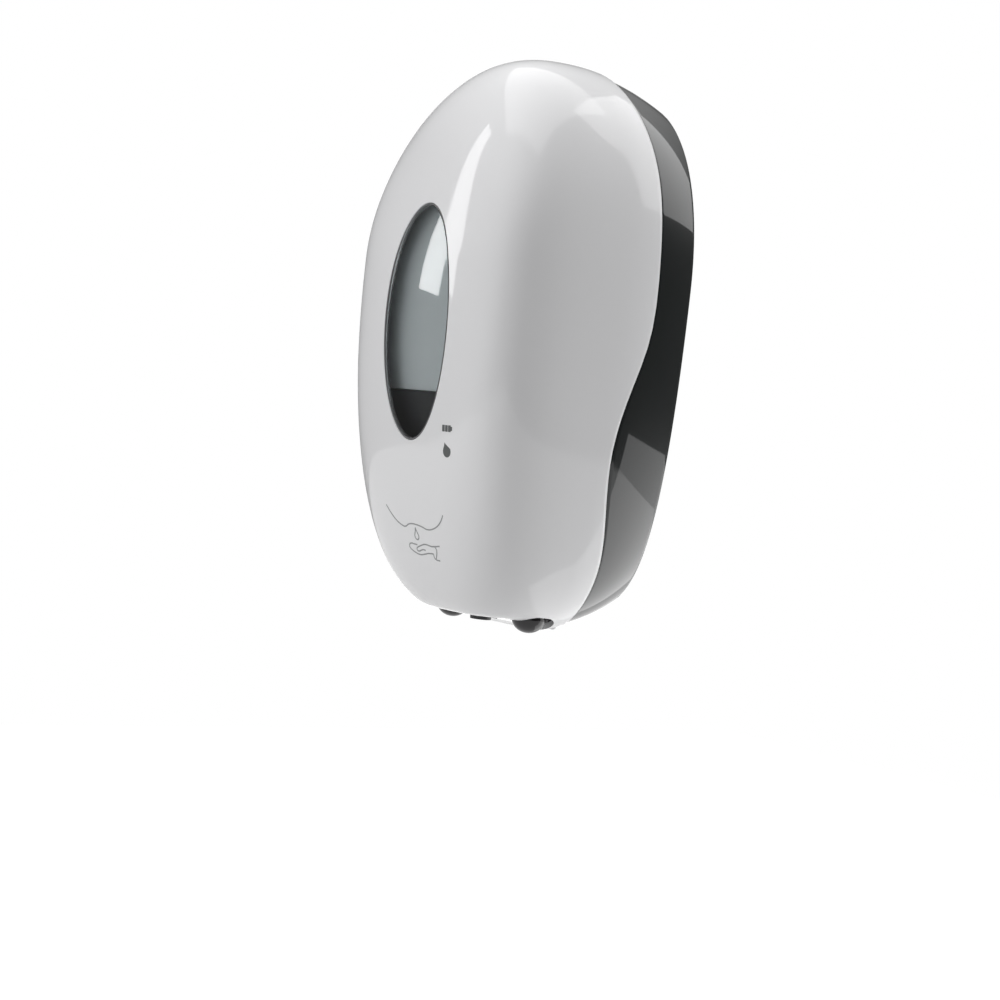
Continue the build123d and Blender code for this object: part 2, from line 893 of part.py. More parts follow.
with BuildPart() as housing_bosses:
    for x, z in housing_screw_places:
        rod(post_radius, boss_start, overall_depth, x, z)
    for x, z in board_posts:
        rod(board_post_radius, board_depth + board_thickness + seat_gap, overall_depth, x, z)
    block(
        switch_pocket_width + 2 * switch_floor,
        switch_pocket_height + 2 * switch_floor,
        switch_floor_depth - switch_floor,
        overall_depth,
        switch_x,
        switch_level,
    )
    egg(cover_depths(inner_inset + housing_wall / 2), inner_inset + housing_wall / 2, Mode.INTERSECT)
    slab(housing_bottom + housing_wall / 2, housing_top - housing_wall / 2)

collar_low = housing_bottom + housing_wall + seat_gap
collar_top = collar_low + nozzle_collar_height
with BuildPart() as pump_housing:
    add(housing_form.part)
    add(housing_hollow.part, mode=Mode.SUBTRACT)
    add(housing_bosses.part)
    post(socket_radius, socket_bottom, housing_top - housing_wall / 2)
    for side in (-1, 1):
        post(sensor_radius, sensor_rim, sensor_top, side * sensor_x, sensor_depth)
        post(
            sensor_radius - sensor_wall,
            sensor_rim - overrun,
            sensor_top - sensor_wall,
            side * sensor_x,
            sensor_depth,
            Mode.SUBTRACT,
        )
    post(spout_radius + body_gap, grommet_top, housing_top + overrun, mode=Mode.SUBTRACT)
    post(grommet_seat_radius, socket_bottom - overrun, grommet_top + seat_gap, mode=Mode.SUBTRACT)
    post(nozzle_radius + seat_gap, housing_bottom - overrun, housing_bottom + 2 * housing_wall, mode=Mode.SUBTRACT)
    post(nozzle_collar_radius + seat_gap, collar_low - seat_gap, collar_top + seat_gap, mode=Mode.SUBTRACT)
    for x, z in housing_screw_places:
        rod(screw_radius + fixed_gap, housing_rear, boss_start + boss_length + overrun, x, z, Mode.SUBTRACT)
    for x, z in board_posts:
        rod(small_screw_radius + fixed_gap, board_depth, board_depth + 2 * small_screw_length, x, z, Mode.SUBTRACT)
    for z in (battery_icon_level, gel_icon_level):
        rod(pipe_radius + seat_gap, board_depth, overall_depth, icon_x, z, Mode.SUBTRACT)
    block(
        switch_pocket_width,
        switch_pocket_height,
        switch_floor_depth,
        overall_depth,
        switch_x,
        switch_level,
        Mode.SUBTRACT,
    )
    block(
        2 * knob_half_width + knob_travel + 2 * body_gap,
        2 * (knob_half_height + body_gap),
        switch_floor_depth - switch_floor - overrun,
        overall_depth,
        switch_x,
        switch_level,
        Mode.SUBTRACT,
    )
pump_housing.part.label = "pump_housing"
export_step(pump_housing.part, "parts/pump_housing.step")

# Seal, funnel, delivery tube and nozzle on one upright axis
with BuildPart() as outlet_grommet:
    post(grommet_radius, grommet_top - grommet_height, grommet_top)
    post(spout_radius + running_gap, grommet_top - grommet_height, grommet_top, mode=Mode.SUBTRACT)
outlet_grommet.part.label = "outlet_grommet"
export_step(outlet_grommet.part, "parts/outlet_grommet.step")

funnel_top = grommet_top - grommet_height - fixed_gap
funnel_bottom = funnel_top - funnel_height
pump_top = pump_level + pump_half_height
with BuildPart() as inlet_tube:
    post(grommet_radius, funnel_bottom, funnel_top)
    post(tube_radius, pump_top - tube_seat + fixed_gap, funnel_bottom)
    post(spout_radius + body_gap, funnel_bottom + funnel_floor, funnel_top, mode=Mode.SUBTRACT)
    post(tube_bore, pump_top - tube_seat, funnel_top, mode=Mode.SUBTRACT)
inlet_tube.part.label = "inlet_tube"
export_step(inlet_tube.part, "parts/inlet_tube.step")

pump_bottom = pump_level - pump_half_height
socket_floor = collar_top - nozzle_socket
with BuildPart() as delivery_tube:
    post(tube_radius, socket_floor + fixed_gap, pump_bottom + tube_seat - fixed_gap)
    post(tube_bore, socket_floor, pump_bottom + tube_seat, mode=Mode.SUBTRACT)
delivery_tube.part.label = "delivery_tube"
export_step(delivery_tube.part, "parts/delivery_tube.step")

with BuildPart() as nozzle:
    with BuildSketch(front(outlet_depth)):
        with BuildLine():
            Polyline(
                (tube_radius + fixed_gap, collar_top),
                (nozzle_collar_radius, collar_top),
                (nozzle_collar_radius, collar_low),
                (nozzle_radius, collar_low),
                (nozzle_radius, housing_bottom - nozzle_collar_height),
                (nozzle_tip_radius, nozzle_tip),
                (valve_radius + fixed_gap, nozzle_tip),
                (valve_radius + fixed_gap, socket_floor),
                (tube_radius + fixed_gap, socket_floor),
                close=True,
            )
        make_face()
    revolve(axis=Axis((0, -outlet_depth, 0), (0, 0, 1)))
nozzle.part.label = "nozzle"
export_step(nozzle.part, "parts/nozzle.step")

valve_top = socket_floor - fixed_gap
bill_top = valve_top - valve_flange
with BuildPart() as duckbill_valve:
    post(valve_radius, bill_top, valve_top)
    with BuildSketch(Plane.XY.offset(bill_top)):
        with Locations((0, -outlet_depth)):
            Rectangle(valve_bill_share * valve_radius, valve_radius)
    with BuildSketch(Plane.XY.offset(bill_top - valve_bill_length)):
        with Locations((0, -outlet_depth)):
            Rectangle(valve_bill_share * valve_radius, valve_bill_thickness)
    loft()
    with BuildSketch(Plane.XY.offset(bill_top - valve_bill_length - overrun)):
        with Locations((0, -outlet_depth)):
            Rectangle(valve_radius, valve_slit)
    extrude(amount=valve_bill_length + overrun + valve_flange + overrun, mode=Mode.SUBTRACT)
duckbill_valve.part.label = "duckbill_valve"
export_step(duckbill_valve.part, "parts/duckbill_valve.step")

# Sensor lenses with their spigots in the barrels, and the infrared pair above them
spigot_radius = sensor_radius - sensor_wall - seat_gap
lens_top = sensor_rim - fixed_gap
dome_top = lens_top - lens_rim_height
for side, lens_name, led_name in ((-1, "sensor_lens_left", "ir_emitter"), (1, "sensor_lens_right", "ir_receiver")):
    with BuildPart() as sensor_lens:
        with BuildSketch(Plane((side * sensor_x, -sensor_depth, 0), (1, 0, 0), (0, -1, 0))):
            with BuildLine():
                Line((0, lens_bottom), (0, lens_top))
                Polyline(
                    (0, lens_top),
                    (spigot_radius - lens_spigot_wall, lens_top),
                    (spigot_radius - lens_spigot_wall, lens_top + lens_spigot),
                    (spigot_radius, lens_top + lens_spigot),
                    (spigot_radius, lens_top),
                    (sensor_radius, lens_top),
                    (sensor_radius, dome_top),
                )
                EllipticalCenterArc((0, dome_top), sensor_radius, dome_top - lens_bottom, 270, arc_size=90)
            make_face()
        revolve(axis=Axis((side * sensor_x, -sensor_depth, 0), (0, 0, 1)))
    sensor_lens.part.label = lens_name
    export_step(sensor_lens.part, f"parts/{lens_name}.step")

    led_board_low = sensor_top - sensor_wall - seat_gap - led_board_thickness
    with BuildPart() as led:
        post(spigot_radius, led_board_low, led_board_low + led_board_thickness, side * sensor_x, sensor_depth)
        post(led_radius + led_flange, led_board_low - led_flange, led_board_low, side * sensor_x, sensor_depth)
        post(led_radius, led_board_low - led_length, led_board_low - led_flange, side * sensor_x, sensor_depth)
        fillet(led.faces().sort_by(Axis.Z)[0].edges(), led_radius * led_dome_share)
    led.part.label = led_name
    export_step(led.part, f"parts/{led_name}.step")


def involute(angle):
    return math.tan(angle) - angle


def gear(teeth, module, near, far, x, z, turn=0):
    """Gear with involute flanks between two depths, with a tooth on its X axis before the turn in degrees."""
    pitch = teeth * module / 2
    tip = pitch + addendum_share * module
    root = pitch - dedendum_share * module
    slope = math.radians(pressure_angle)
    base = pitch * math.cos(slope)
    half_tooth = math.pi / (2 * teeth) - backlash / (4 * pitch)
    flank = []
    for radius in (max(root, base), pitch, (pitch + tip) / 2, tip):
        spread = half_tooth + involute(slope) - involute(math.acos(min(1, base / radius)))
        flank.append((radius, spread))
    flank = [(root, flank[0][1])] * (root < base) + flank
    points = []
    for tooth in range(teeth):
        middle = math.radians(turn) + 2 * math.pi * tooth / teeth
        sides = [(radius, middle - spread) for radius, spread in flank]
        sides += [(radius, middle + spread) for radius, spread in reversed(flank)]
        points += [(x + radius * math.cos(a), z + radius * math.sin(a)) for radius, a in sides]
    with BuildSketch(front(near)) as section:
        with BuildLine():
            Polyline(*points, close=True)
        make_face()
    extrude(section.sketch, amount=far - near)


# Gear centres and the turns that put the teeth in mesh
pump_pitch = pump_module * pump_teeth / 2
driver_x, idler_x = -pump_pitch, pump_pitch
compound_distance = gear_module * (drive_teeth + small_teeth) / 2
motor_distance = gear_module * (wheel_teeth + motor_teeth) / 2
compound_x = driver_x + compound_distance * math.cos(math.radians(compound_angle))
compound_z = pump_level + compound_distance * math.sin(math.radians(compound_angle))
motor_x = compound_x + motor_distance * math.cos(math.radians(motor_angle))
motor_z = compound_z + motor_distance * math.sin(math.radians(motor_angle))
small_turn = compound_angle + 180
drive_turn = compound_angle + 180 / drive_teeth
wheel_turn = motor_angle
pinion_turn = motor_angle + 180 + 180 / motor_teeth
idler_turn = 180 + 180 / pump_teeth

# Rear plate of the pump housing and the gear plate on its standoffs
shaft_rear = housing_rear + seat_gap
back_front = housing_rear + back_thickness
with BuildPart() as housing_back:
    egg(cover_depths(inner_inset + housing_wall + seat_gap), inner_inset + housing_wall + seat_gap)
    slab(housing_bottom + housing_wall + seat_gap, housing_top - housing_wall - seat_gap)
    block(
        2 * half_width,
        overall_height,
        housing_rear,
        back_front,
        0,
        (top_height - bottom_height) / 2,
        Mode.INTERSECT,
    )
    for x, z in housing_screw_places:
        rod(screw_radius + seat_gap, 0, overall_depth, x, z, Mode.SUBTRACT)
    for x, z in standoff_places:
        rod(small_screw_radius + seat_gap, 0, overall_depth, x, z, Mode.SUBTRACT)
    rod(shaft_radius + running_gap, 0, overall_depth, driver_x, pump_level, Mode.SUBTRACT)
    rod(shaft_radius + fixed_gap, 0, overall_depth, compound_x, compound_z, Mode.SUBTRACT)
housing_back.part.label = "housing_back"
export_step(housing_back.part, "parts/housing_back.step")

plate_front = plate_depth + plate_thickness
with BuildPart() as gear_plate:
    with BuildSketch(front(plate_depth)):
        with Locations(*standoff_places):
            Circle(standoff_radius)
        make_hull()
        with Locations((motor_x, motor_z)):
            Rectangle(2 * motor_half_flat, 2 * motor_radius)
    extrude(amount=plate_thickness)
    for x, z in standoff_places:
        rod(standoff_radius, back_front + fixed_gap, plate_depth, x, z)
        rod(small_screw_radius + fixed_gap, back_front, plate_front - plate_thickness / 4, x, z, Mode.SUBTRACT)
    rod(shaft_radius + running_gap, 0, overall_depth, driver_x, pump_level, Mode.SUBTRACT)
    rod(shaft_radius + fixed_gap, 0, overall_depth, compound_x, compound_z, Mode.SUBTRACT)
    rod(motor_boss_radius + seat_gap, 0, overall_depth, motor_x, motor_z, Mode.SUBTRACT)
    for side in (-1, 1):
        rod(small_screw_radius + seat_gap, 0, overall_depth, motor_x, motor_z + side * motor_screw_offset, Mode.SUBTRACT)
        for rise in (-1, 1):
            rod(
                small_screw_radius + fixed_gap,
                plate_depth,
                overall_depth,
                side * pump_screw_x,
                pump_level + rise * pump_screw_z,
                Mode.SUBTRACT,
            )
gear_plate.part.label = "gear_plate"
export_step(gear_plate.part, "parts/gear_plate.step")

# Motor, its shaft and the gear train
motor_front = plate_front + motor_length
wheel_front = wheel_depth + wheel_width
with BuildPart() as motor:
    with BuildSketch(front(plate_front + fixed_gap)):
        with Locations((motor_x, motor_z)):
            Circle(motor_radius)
            Rectangle(2 * motor_half_flat, 2 * motor_radius, mode=Mode.INTERSECT)
    extrude(amount=motor_length)
    rod(motor_boss_radius, plate_front - motor_boss_height, plate_front + fixed_gap, motor_x, motor_z)
    for side in (-1, 1):
        block(
            motor_terminal_width,
            motor_terminal_thickness,
            motor_front,
            motor_front + motor_terminal_length,
            motor_x,
            motor_z + side * motor_terminal_offset,
        )
        rod(
            small_screw_radius + fixed_gap,
            plate_front,
            plate_front + small_screw_length,
            motor_x,
            motor_z + side * motor_screw_offset,
            Mode.SUBTRACT,
        )
    rod(motor_shaft_radius + running_gap, plate_depth, plate_front + motor_length / 2, motor_x, motor_z, Mode.SUBTRACT)
motor.part.label = "motor"
export_step(motor.part, "parts/motor.step")

with BuildPart() as motor_shaft:
    rod(motor_shaft_radius, wheel_depth, plate_front + motor_length / 2 - seat_gap, motor_x, motor_z)
motor_shaft.part.label = "motor_shaft"
export_step(motor_shaft.part, "parts/motor_shaft.step")

with BuildPart() as motor_pinion:
    gear(motor_teeth, gear_module, wheel_depth, wheel_front, motor_x, motor_z, pinion_turn)
    rod(motor_shaft_radius + fixed_gap, 0, overall_depth, motor_x, motor_z, Mode.SUBTRACT)
motor_pinion.part.label = "motor_pinion"
export_step(motor_pinion.part, "parts/motor_pinion.step")

with BuildPart() as compound_gear:
    gear(wheel_teeth, gear_module, wheel_depth, wheel_front, compound_x, compound_z, wheel_turn)
    gear(small_teeth, gear_module, wheel_front, small_depth + small_width, compound_x, compound_z, small_turn)
    rod(shaft_radius + running_gap, 0, overall_depth, compound_x, compound_z, Mode.SUBTRACT)
compound_gear.part.label = "compound_gear"
export_step(compound_gear.part, "parts/compound_gear.step")

with BuildPart() as gear_axle:
    rod(shaft_radius, shaft_rear, plate_front - seat_gap, compound_x, compound_z)
gear_axle.part.label = "gear_axle"
export_step(gear_axle.part, "parts/gear_axle.step")

pump_rear = plate_front + fixed_gap
chamber_rear = pump_rear + pump_wall
pump_gear_rear = chamber_rear + seat_gap
chamber_front = pump_gear_rear + pump_gear_width + seat_gap
drive_rear = small_depth + seat_gap
with BuildPart() as drive_gear:
    gear(drive_teeth, gear_module, drive_rear, drive_rear + drive_width, driver_x, pump_level, drive_turn)
    rod(hub_radius, drive_rear, plate_depth - body_gap, driver_x, pump_level)
    rod(shaft_radius + fixed_gap, 0, overall_depth, driver_x, pump_level, Mode.SUBTRACT)
drive_gear.part.label = "drive_gear"
export_step(drive_gear.part, "parts/drive_gear.step")

with BuildPart() as drive_shaft:
    rod(shaft_radius, shaft_rear, chamber_front + pump_cover_thickness / 2, driver_x, pump_level)
drive_shaft.part.label = "drive_shaft"
export_step(drive_shaft.part, "parts/drive_shaft.step")

# Gear pump
pump_screw_places = [
    (side * pump_screw_x, pump_level + rise * pump_screw_z) for side in (-1, 1) for rise in (-1, 1)
]
pump_tip = pump_pitch + addendum_share * pump_module
with BuildPart() as pump_body:
    block(2 * pump_half_width, 2 * pump_half_height, pump_rear, chamber_front, 0, pump_level)
    fillet(pump_body.edges().filter_by(Axis.Y), pump_wall)
    for x in (driver_x, idler_x):
        rod(pump_tip + chamber_gap, chamber_rear, chamber_front, x, pump_level, Mode.SUBTRACT)
    block(2 * tube_bore, pump_pitch * 2, chamber_rear, chamber_front, 0, pump_level, Mode.SUBTRACT)
    rod(shaft_radius + running_gap, 0, overall_depth, driver_x, pump_level, Mode.SUBTRACT)
    rod(shaft_radius + fixed_gap, pump_rear + pump_wall / 2, overall_depth, idler_x, pump_level, Mode.SUBTRACT)
    post(tube_bore, pump_level, pump_top + overrun, mode=Mode.SUBTRACT)
    post(tube_bore, pump_bottom - overrun, pump_level, mode=Mode.SUBTRACT)
    post(tube_radius + fixed_gap, pump_top - tube_seat, pump_top + overrun, mode=Mode.SUBTRACT)
    post(tube_radius + fixed_gap, pump_bottom - overrun, pump_bottom + tube_seat, mode=Mode.SUBTRACT)
    for x, z in pump_screw_places:
        rod(small_screw_radius + seat_gap, 0, overall_depth, x, z, Mode.SUBTRACT)
pump_body.part.label = "pump_body"
export_step(pump_body.part, "parts/pump_body.step")

cover_plate_rear = chamber_front + fixed_gap
cover_plate_front = cover_plate_rear + pump_cover_thickness
with BuildPart() as pump_cover:
    block(2 * pump_half_width, 2 * pump_half_height, cover_plate_rear, cover_plate_front, 0, pump_level)
    fillet(pump_cover.edges().filter_by(Axis.Y), pump_wall)
    rod(shaft_radius + running_gap, 0, cover_plate_rear + pump_cover_thickness / 2, driver_x, pump_level, Mode.SUBTRACT)
    rod(shaft_radius + fixed_gap, 0, cover_plate_rear + pump_cover_thickness / 2, idler_x, pump_level, Mode.SUBTRACT)
    for x, z in pump_screw_places:
        rod(small_screw_radius + seat_gap, 0, overall_depth, x, z, Mode.SUBTRACT)
pump_cover.part.label = "pump_cover"
export_step(pump_cover.part, "parts/pump_cover.step")

with BuildPart() as pump_driver_gear:
    gear(pump_teeth, pump_module, pump_gear_rear, pump_gear_rear + pump_gear_width, driver_x, pump_level)
    rod(shaft_radius + fixed_gap, 0, overall_depth, driver_x, pump_level, Mode.SUBTRACT)
pump_driver_gear.part.label = "pump_driver_gear"
export_step(pump_driver_gear.part, "parts/pump_driver_gear.step")

with BuildPart() as pump_idler_gear:
    gear(pump_teeth, pump_module, pump_gear_rear, pump_gear_rear + pump_gear_width, idler_x, pump_level, idler_turn)
    rod(shaft_radius + running_gap, 0, overall_depth, idler_x, pump_level, Mode.SUBTRACT)
pump_idler_gear.part.label = "pump_idler_gear"
export_step(pump_idler_gear.part, "parts/pump_idler_gear.step")

with BuildPart() as idler_shaft:
    rod(
        shaft_radius,
        pump_rear + pump_wall / 2 + fixed_gap,
        cover_plate_rear + pump_cover_thickness / 2 - fixed_gap,
        idler_x,
        pump_level,
    )
idler_shaft.part.label = "idler_shaft"
export_step(idler_shaft.part, "parts/idler_shaft.step")

# Control board with its parts, light pipes and power switch
board_front = board_depth + board_thickness
with BuildPart() as control_board:
    with BuildSketch(front(board_depth)):
        with Locations((0, (board_top + board_bottom) / 2)):
            RectangleRounded(2 * board_half_width, board_top - board_bottom, board_corner)
        with Locations(*board_posts):
            Circle(small_screw_radius + seat_gap, mode=Mode.SUBTRACT)
    extrude(amount=board_thickness)
    block(chip_size, chip_size, board_depth - chip_height, board_depth, 0, (board_top + board_bottom) / 2)
    rod(capacitor_radius, board_depth - capacitor_height, board_depth, board_half_width / 2, board_bottom + chip_size)
    block(
        plug_length,
        plug_width,
        board_depth - plug_height,
        board_depth,
        -board_half_width / 2,
        board_bottom + chip_size,
    )
control_board.part.label = "control_board"
export_step(control_board.part, "parts/control_board.step")

with BuildPart() as light_pipes:
    for z in (battery_icon_level, gel_icon_level):
        rod(pipe_radius, board_front + fixed_gap, pipe_end_depth, icon_x, z)
light_pipes.part.label = "light_pipes"
export_step(light_pipes.part, "parts/light_pipes.step")

switch_front = switch_floor_depth - switch_floor - fixed_gap
flange_half_width = knob_half_width + knob_flange
with BuildPart() as power_switch:
    block(
        2 * switch_half_width,
        2 * switch_half_height,
        board_front + fixed_gap,
        switch_front,
        switch_x,
        switch_level,
    )
    block(
        2 * flange_half_width + knob_travel + 2 * body_gap,
        2 * (knob_half_height + body_gap),
        knob_depth - seat_gap,
        overall_depth,
        switch_x,
        switch_level,
        Mode.SUBTRACT,
    )
power_switch.part.label = "power_switch"
export_step(power_switch.part, "parts/power_switch.step")

knob_x = switch_x - knob_travel / 2
with BuildPart() as switch_knob:
    block(
        2 * flange_half_width,
        2 * knob_half_height,
        knob_depth,
        knob_depth + knob_flange_thickness,
        knob_x,
        switch_level,
    )
    block(
        2 * knob_half_width,
        2 * knob_half_height,
        knob_depth + knob_flange_thickness,
        knob_end_depth,
        knob_x,
        switch_level,
    )
switch_knob.part.label = "switch_knob"
export_step(switch_knob.part, "parts/switch_knob.step")

# Screws, one node for each group of equals
with BuildPart() as housing_screws:
    for x, z in case_posts:
        screw(
            x,
            z,
            housing_screw_recess - fixed_gap,
            housing_screw_length,
            screw_radius,
            screw_head_radius,
            screw_head_height,
        )
housing_screws.part.label = "housing_screws"
export_step(housing_screws.part, "parts/housing_screws.step")

with BuildPart() as gearbox_screws:
    for x, z in standoff_places:
        screw(
            x,
            z,
            housing_rear - fixed_gap,
            back_thickness + small_screw_length,
            small_screw_radius,
            small_head_radius,
            small_head_height,
        )
gearbox_screws.part.label = "gearbox_screws"
export_step(gearbox_screws.part, "parts/gearbox_screws.step")

with BuildPart() as motor_screws:
    for side in (-1, 1):
        screw(
            motor_x,
            motor_z + side * motor_screw_offset,
            plate_depth - fixed_gap,
            small_screw_length,
            small_screw_radius,
            small_head_radius,
            small_head_height,
        )
motor_screws.part.label = "motor_screws"
export_step(motor_screws.part, "parts/motor_screws.step")

with BuildPart() as pump_screws:
    for x, z in pump_screw_places:
        screw(
            x,
            z,
            cover_plate_front + fixed_gap,
            cover_plate_front - plate_depth - seat_gap,
            small_screw_radius,
            small_head_radius,
            small_head_height,
            -1,
        )
pump_screws.part.label = "pump_screws"
export_step(pump_screws.part, "parts/pump_screws.step")

with BuildPart() as board_screws:
    for x, z in board_posts:
        screw(
            x,
            z,
            board_depth - fixed_gap,
            board_thickness + small_screw_length,
            small_screw_radius,
            small_head_radius,
            small_head_height,
        )
board_screws.part.label = "board_screws"
export_step(board_screws.part, "parts/board_screws.step")
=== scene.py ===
import json
import math

import bmesh
import bpy
import numpy
from mathutils import Matrix, Vector
from mathutils.bvhtree import BVHTree

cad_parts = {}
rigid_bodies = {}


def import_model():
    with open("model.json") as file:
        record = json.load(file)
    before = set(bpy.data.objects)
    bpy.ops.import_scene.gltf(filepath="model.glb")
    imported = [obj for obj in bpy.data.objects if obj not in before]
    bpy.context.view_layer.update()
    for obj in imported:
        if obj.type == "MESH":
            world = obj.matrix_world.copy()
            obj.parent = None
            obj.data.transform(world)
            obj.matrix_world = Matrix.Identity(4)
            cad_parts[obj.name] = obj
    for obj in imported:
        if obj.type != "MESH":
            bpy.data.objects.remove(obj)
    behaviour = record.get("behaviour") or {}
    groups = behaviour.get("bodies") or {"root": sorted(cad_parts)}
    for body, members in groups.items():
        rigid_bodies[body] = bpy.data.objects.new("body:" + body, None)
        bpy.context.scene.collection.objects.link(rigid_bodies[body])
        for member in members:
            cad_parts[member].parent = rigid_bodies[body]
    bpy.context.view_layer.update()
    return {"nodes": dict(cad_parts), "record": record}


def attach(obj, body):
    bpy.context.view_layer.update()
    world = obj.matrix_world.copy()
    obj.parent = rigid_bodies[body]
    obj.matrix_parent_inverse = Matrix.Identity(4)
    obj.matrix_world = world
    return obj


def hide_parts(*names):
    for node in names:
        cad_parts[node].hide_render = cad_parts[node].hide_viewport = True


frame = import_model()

# The looks of a touchless hand sanitizer dispenser. Shape sizes are in millimetres, scaled on entry.
MM = 0.001

# Egg form of the outside, as in the solids but with a rounder horizontal section at the front
half_width = 67.0
top_height = 102.6
bottom_height = 168.6
straight_depth = 35.0
crown_depth = 81.0
taper_depth = 49.0
wall_taper_shares = (0.12, 0.084, 0.08)
crown_powers = (5.7, 3.7, 4)
squareness = (5, 2, 2)
side_top_share = 0.6
crown_top_share = 0.6
side_bottom_share = 1.0
crown_bottom_share = 0.58
hollow_radius = 56.0
hollow_depth = 68.0
hollow_top = -161.0
hollow_blend = 1.5
crown_end_share = 0.992
crown_ease_share = 0.9
half_sizes = (half_width, top_height, bottom_height)
overall_height = top_height + bottom_height
overall_depth = straight_depth + crown_depth
seam_shares = (
    (0.394, 0.333),
    (0.296, 0.274),
    (0.185, 0.236),
    (0.036, 0.230),
    (-0.092, 0.240),
    (-0.203, 0.321),
    (-0.295, 0.358),
    (-0.387, 0.332),
    (-0.497, 0.281),
    (-0.574, 0.281),
    (-0.65, 0.281),
)
seam_half_gap = 0.4
cover_wall = 2.6
case_inset = 1.2
case_wall = 2.4
inner_inset = 9.0
bottle_wall = 1.8

# Window and marks on the cover
window_level = -28.7
window_half_width = 25.2
window_half_height = 54.7

quarter_points = 48
per_quarter = quarter_points


def bezier(points, shares):
    """Points of a cubic Bezier at these shares of its length."""
    a, b, c, d = [numpy.array(point)[None, :] for point in points]
    t = shares[:, None]
    return a * (1 - t)**3 + 3 * b * t * (1 - t)**2 + 3 * c * t**2 * (1 - t) + d * t**3


def unit_outline():
    """The egg's outline with all half sizes 1, anticlockwise seen from the front."""
    top = ((1, 0), (1, side_top_share), (crown_top_share, 1), (0, 1))
    bottom = ((1, 0), (1, side_bottom_share), (crown_bottom_share, 1), (0, 1))
    shares = numpy.arange(per_quarter) / per_quarter
    flip_x, flip_z = numpy.array((-1, 1)), numpy.array((1, -1))
    return numpy.concatenate((
        bezier(top, shares),
        bezier(top, 1 - shares) * flip_x,
        bezier(bottom, shares) * flip_x * flip_z,
        bezier(bottom, 1 - shares) * flip_z,
    ))


unit = unit_outline()
around = len(unit)


def lifted_ring(sizes, depth, inset):
    """Ring of points from the three half sizes at a depth, lifted where the underside is hollow."""
    x = unit[:, 0] * sizes[0]
    z = unit[:, 1] * numpy.where(unit[:, 1] > 0, sizes[1], sizes[2])
    reach = (hollow_radius + inset)**2 - (depth - hollow_depth)**2
    over = hollow_top - hollow_radius + numpy.sqrt(numpy.clip(reach, 0, None))
    z = (z + over + numpy.sqrt((z - over)**2 + hollow_blend**2)) / 2
    return numpy.stack((x, -depth * numpy.ones(around), z), axis=1)


def ring(depth, inset=0.0):
    """Outline at a depth, which may differ from point to point."""
    depth = depth * numpy.ones(around)
    back = numpy.clip(1 - depth / taper_depth, 0, None)
    ahead = numpy.clip((depth - straight_depth) / (crown_depth - inset), 0, 1)
    sizes = []
    for size, taper, power, root in zip(half_sizes, wall_taper_shares, crown_powers, squareness):
        sizes.append((size - inset) * (1 - taper * back**2) * (1 - ahead**power)**(1 / root))
    return lifted_ring(sizes, depth, inset)


def crown_ring(share, inset=0.0):
    """Outline at a share of the crown's depth, eased so that the front ends where the solid does."""
    ease = min(1.0, max(0.0, (share - crown_ease_share) / (1 - crown_ease_share)))
    shortening = (1 - crown_end_share) * ease**2 * (3 - 2 * ease)
    sizes = []
    for size, power, root in zip(half_sizes, crown_powers, squareness):
        sizes.append((size - inset) * max(0.0, 1 - share**power)**(1 / root))
    return lifted_ring(sizes, straight_depth + (share - shortening) * (crown_depth - inset), inset)


def natural_spline(xs, ys):
    """Cubic through the points as a function, with no bend at its ends."""
    count = len(xs)
    steps = numpy.diff(xs)
    matrix = numpy.eye(count)
    right = numpy.zeros(count)
    for i in range(1, count - 1):
        matrix[i, i - 1:i + 2] = steps[i - 1], 2 * (steps[i - 1] + steps[i]), steps[i]
        right[i] = 6 * ((ys[i + 1] - ys[i]) / steps[i] - (ys[i] - ys[i - 1]) / steps[i - 1])
    bends = numpy.linalg.solve(matrix, right)

    def value(x):
        i = numpy.clip(numpy.searchsorted(xs, x) - 1, 0, count - 2)
        step = steps[i]
        low, high = (xs[i + 1] - x) / step, (x - xs[i]) / step
        curve = (low**3 - low) * bends[i] + (high**3 - high) * bends[i + 1]
        return low * ys[i] + high * ys[i + 1] + curve * step**2 / 6
    return value


seam_points = sorted((high * overall_height, deep * overall_depth) for high, deep in seam_shares)
seam_depth = natural_spline(*numpy.array(seam_points).T)


def seam_ring_depth(shift, inset):
    """Depth of the seam at each point of the outline, moved forward by the shift."""
    depth = straight_depth * numpy.ones(around)
    for _ in range(60):
        depth = 0.5 * depth + 0.5 * (seam_depth(ring(depth, inset)[:, 2]) + shift)
    return depth


def crown_shares_from(start, count):
    """Shares of the crown from a start to its end, closer together as the front turns in."""
    power = crown_powers[2]
    first = math.asin(start**(power / 2))
    return [math.sin(first + (math.pi / 2 - first) * i / count)**(2 / power) for i in range(1, count)]


def shell_rings(start_depth, inset, straight_rings, crown_rings, middle_share=0.5):
    """Rings from a start depth to the front, without the last point."""
    middle = straight_depth + middle_share * (crown_depth - inset)
    span = middle - start_depth
    rings = [ring(start_depth + span * i / straight_rings, inset) for i in range(straight_rings + 1)]
    return rings + [crown_ring(share, inset) for share in crown_shares_from(middle_share, crown_rings)]


def new_object(name, vertices, faces):
    """Mesh object from points in millimetres."""
    mesh = bpy.data.meshes.new(name)
    mesh.from_pydata([tuple(float(v) * MM for v in point) for point in vertices], [], faces)
    mesh.update()
    item = bpy.data.objects.new(name, mesh)
    bpy.context.scene.collection.objects.link(item)
    return item


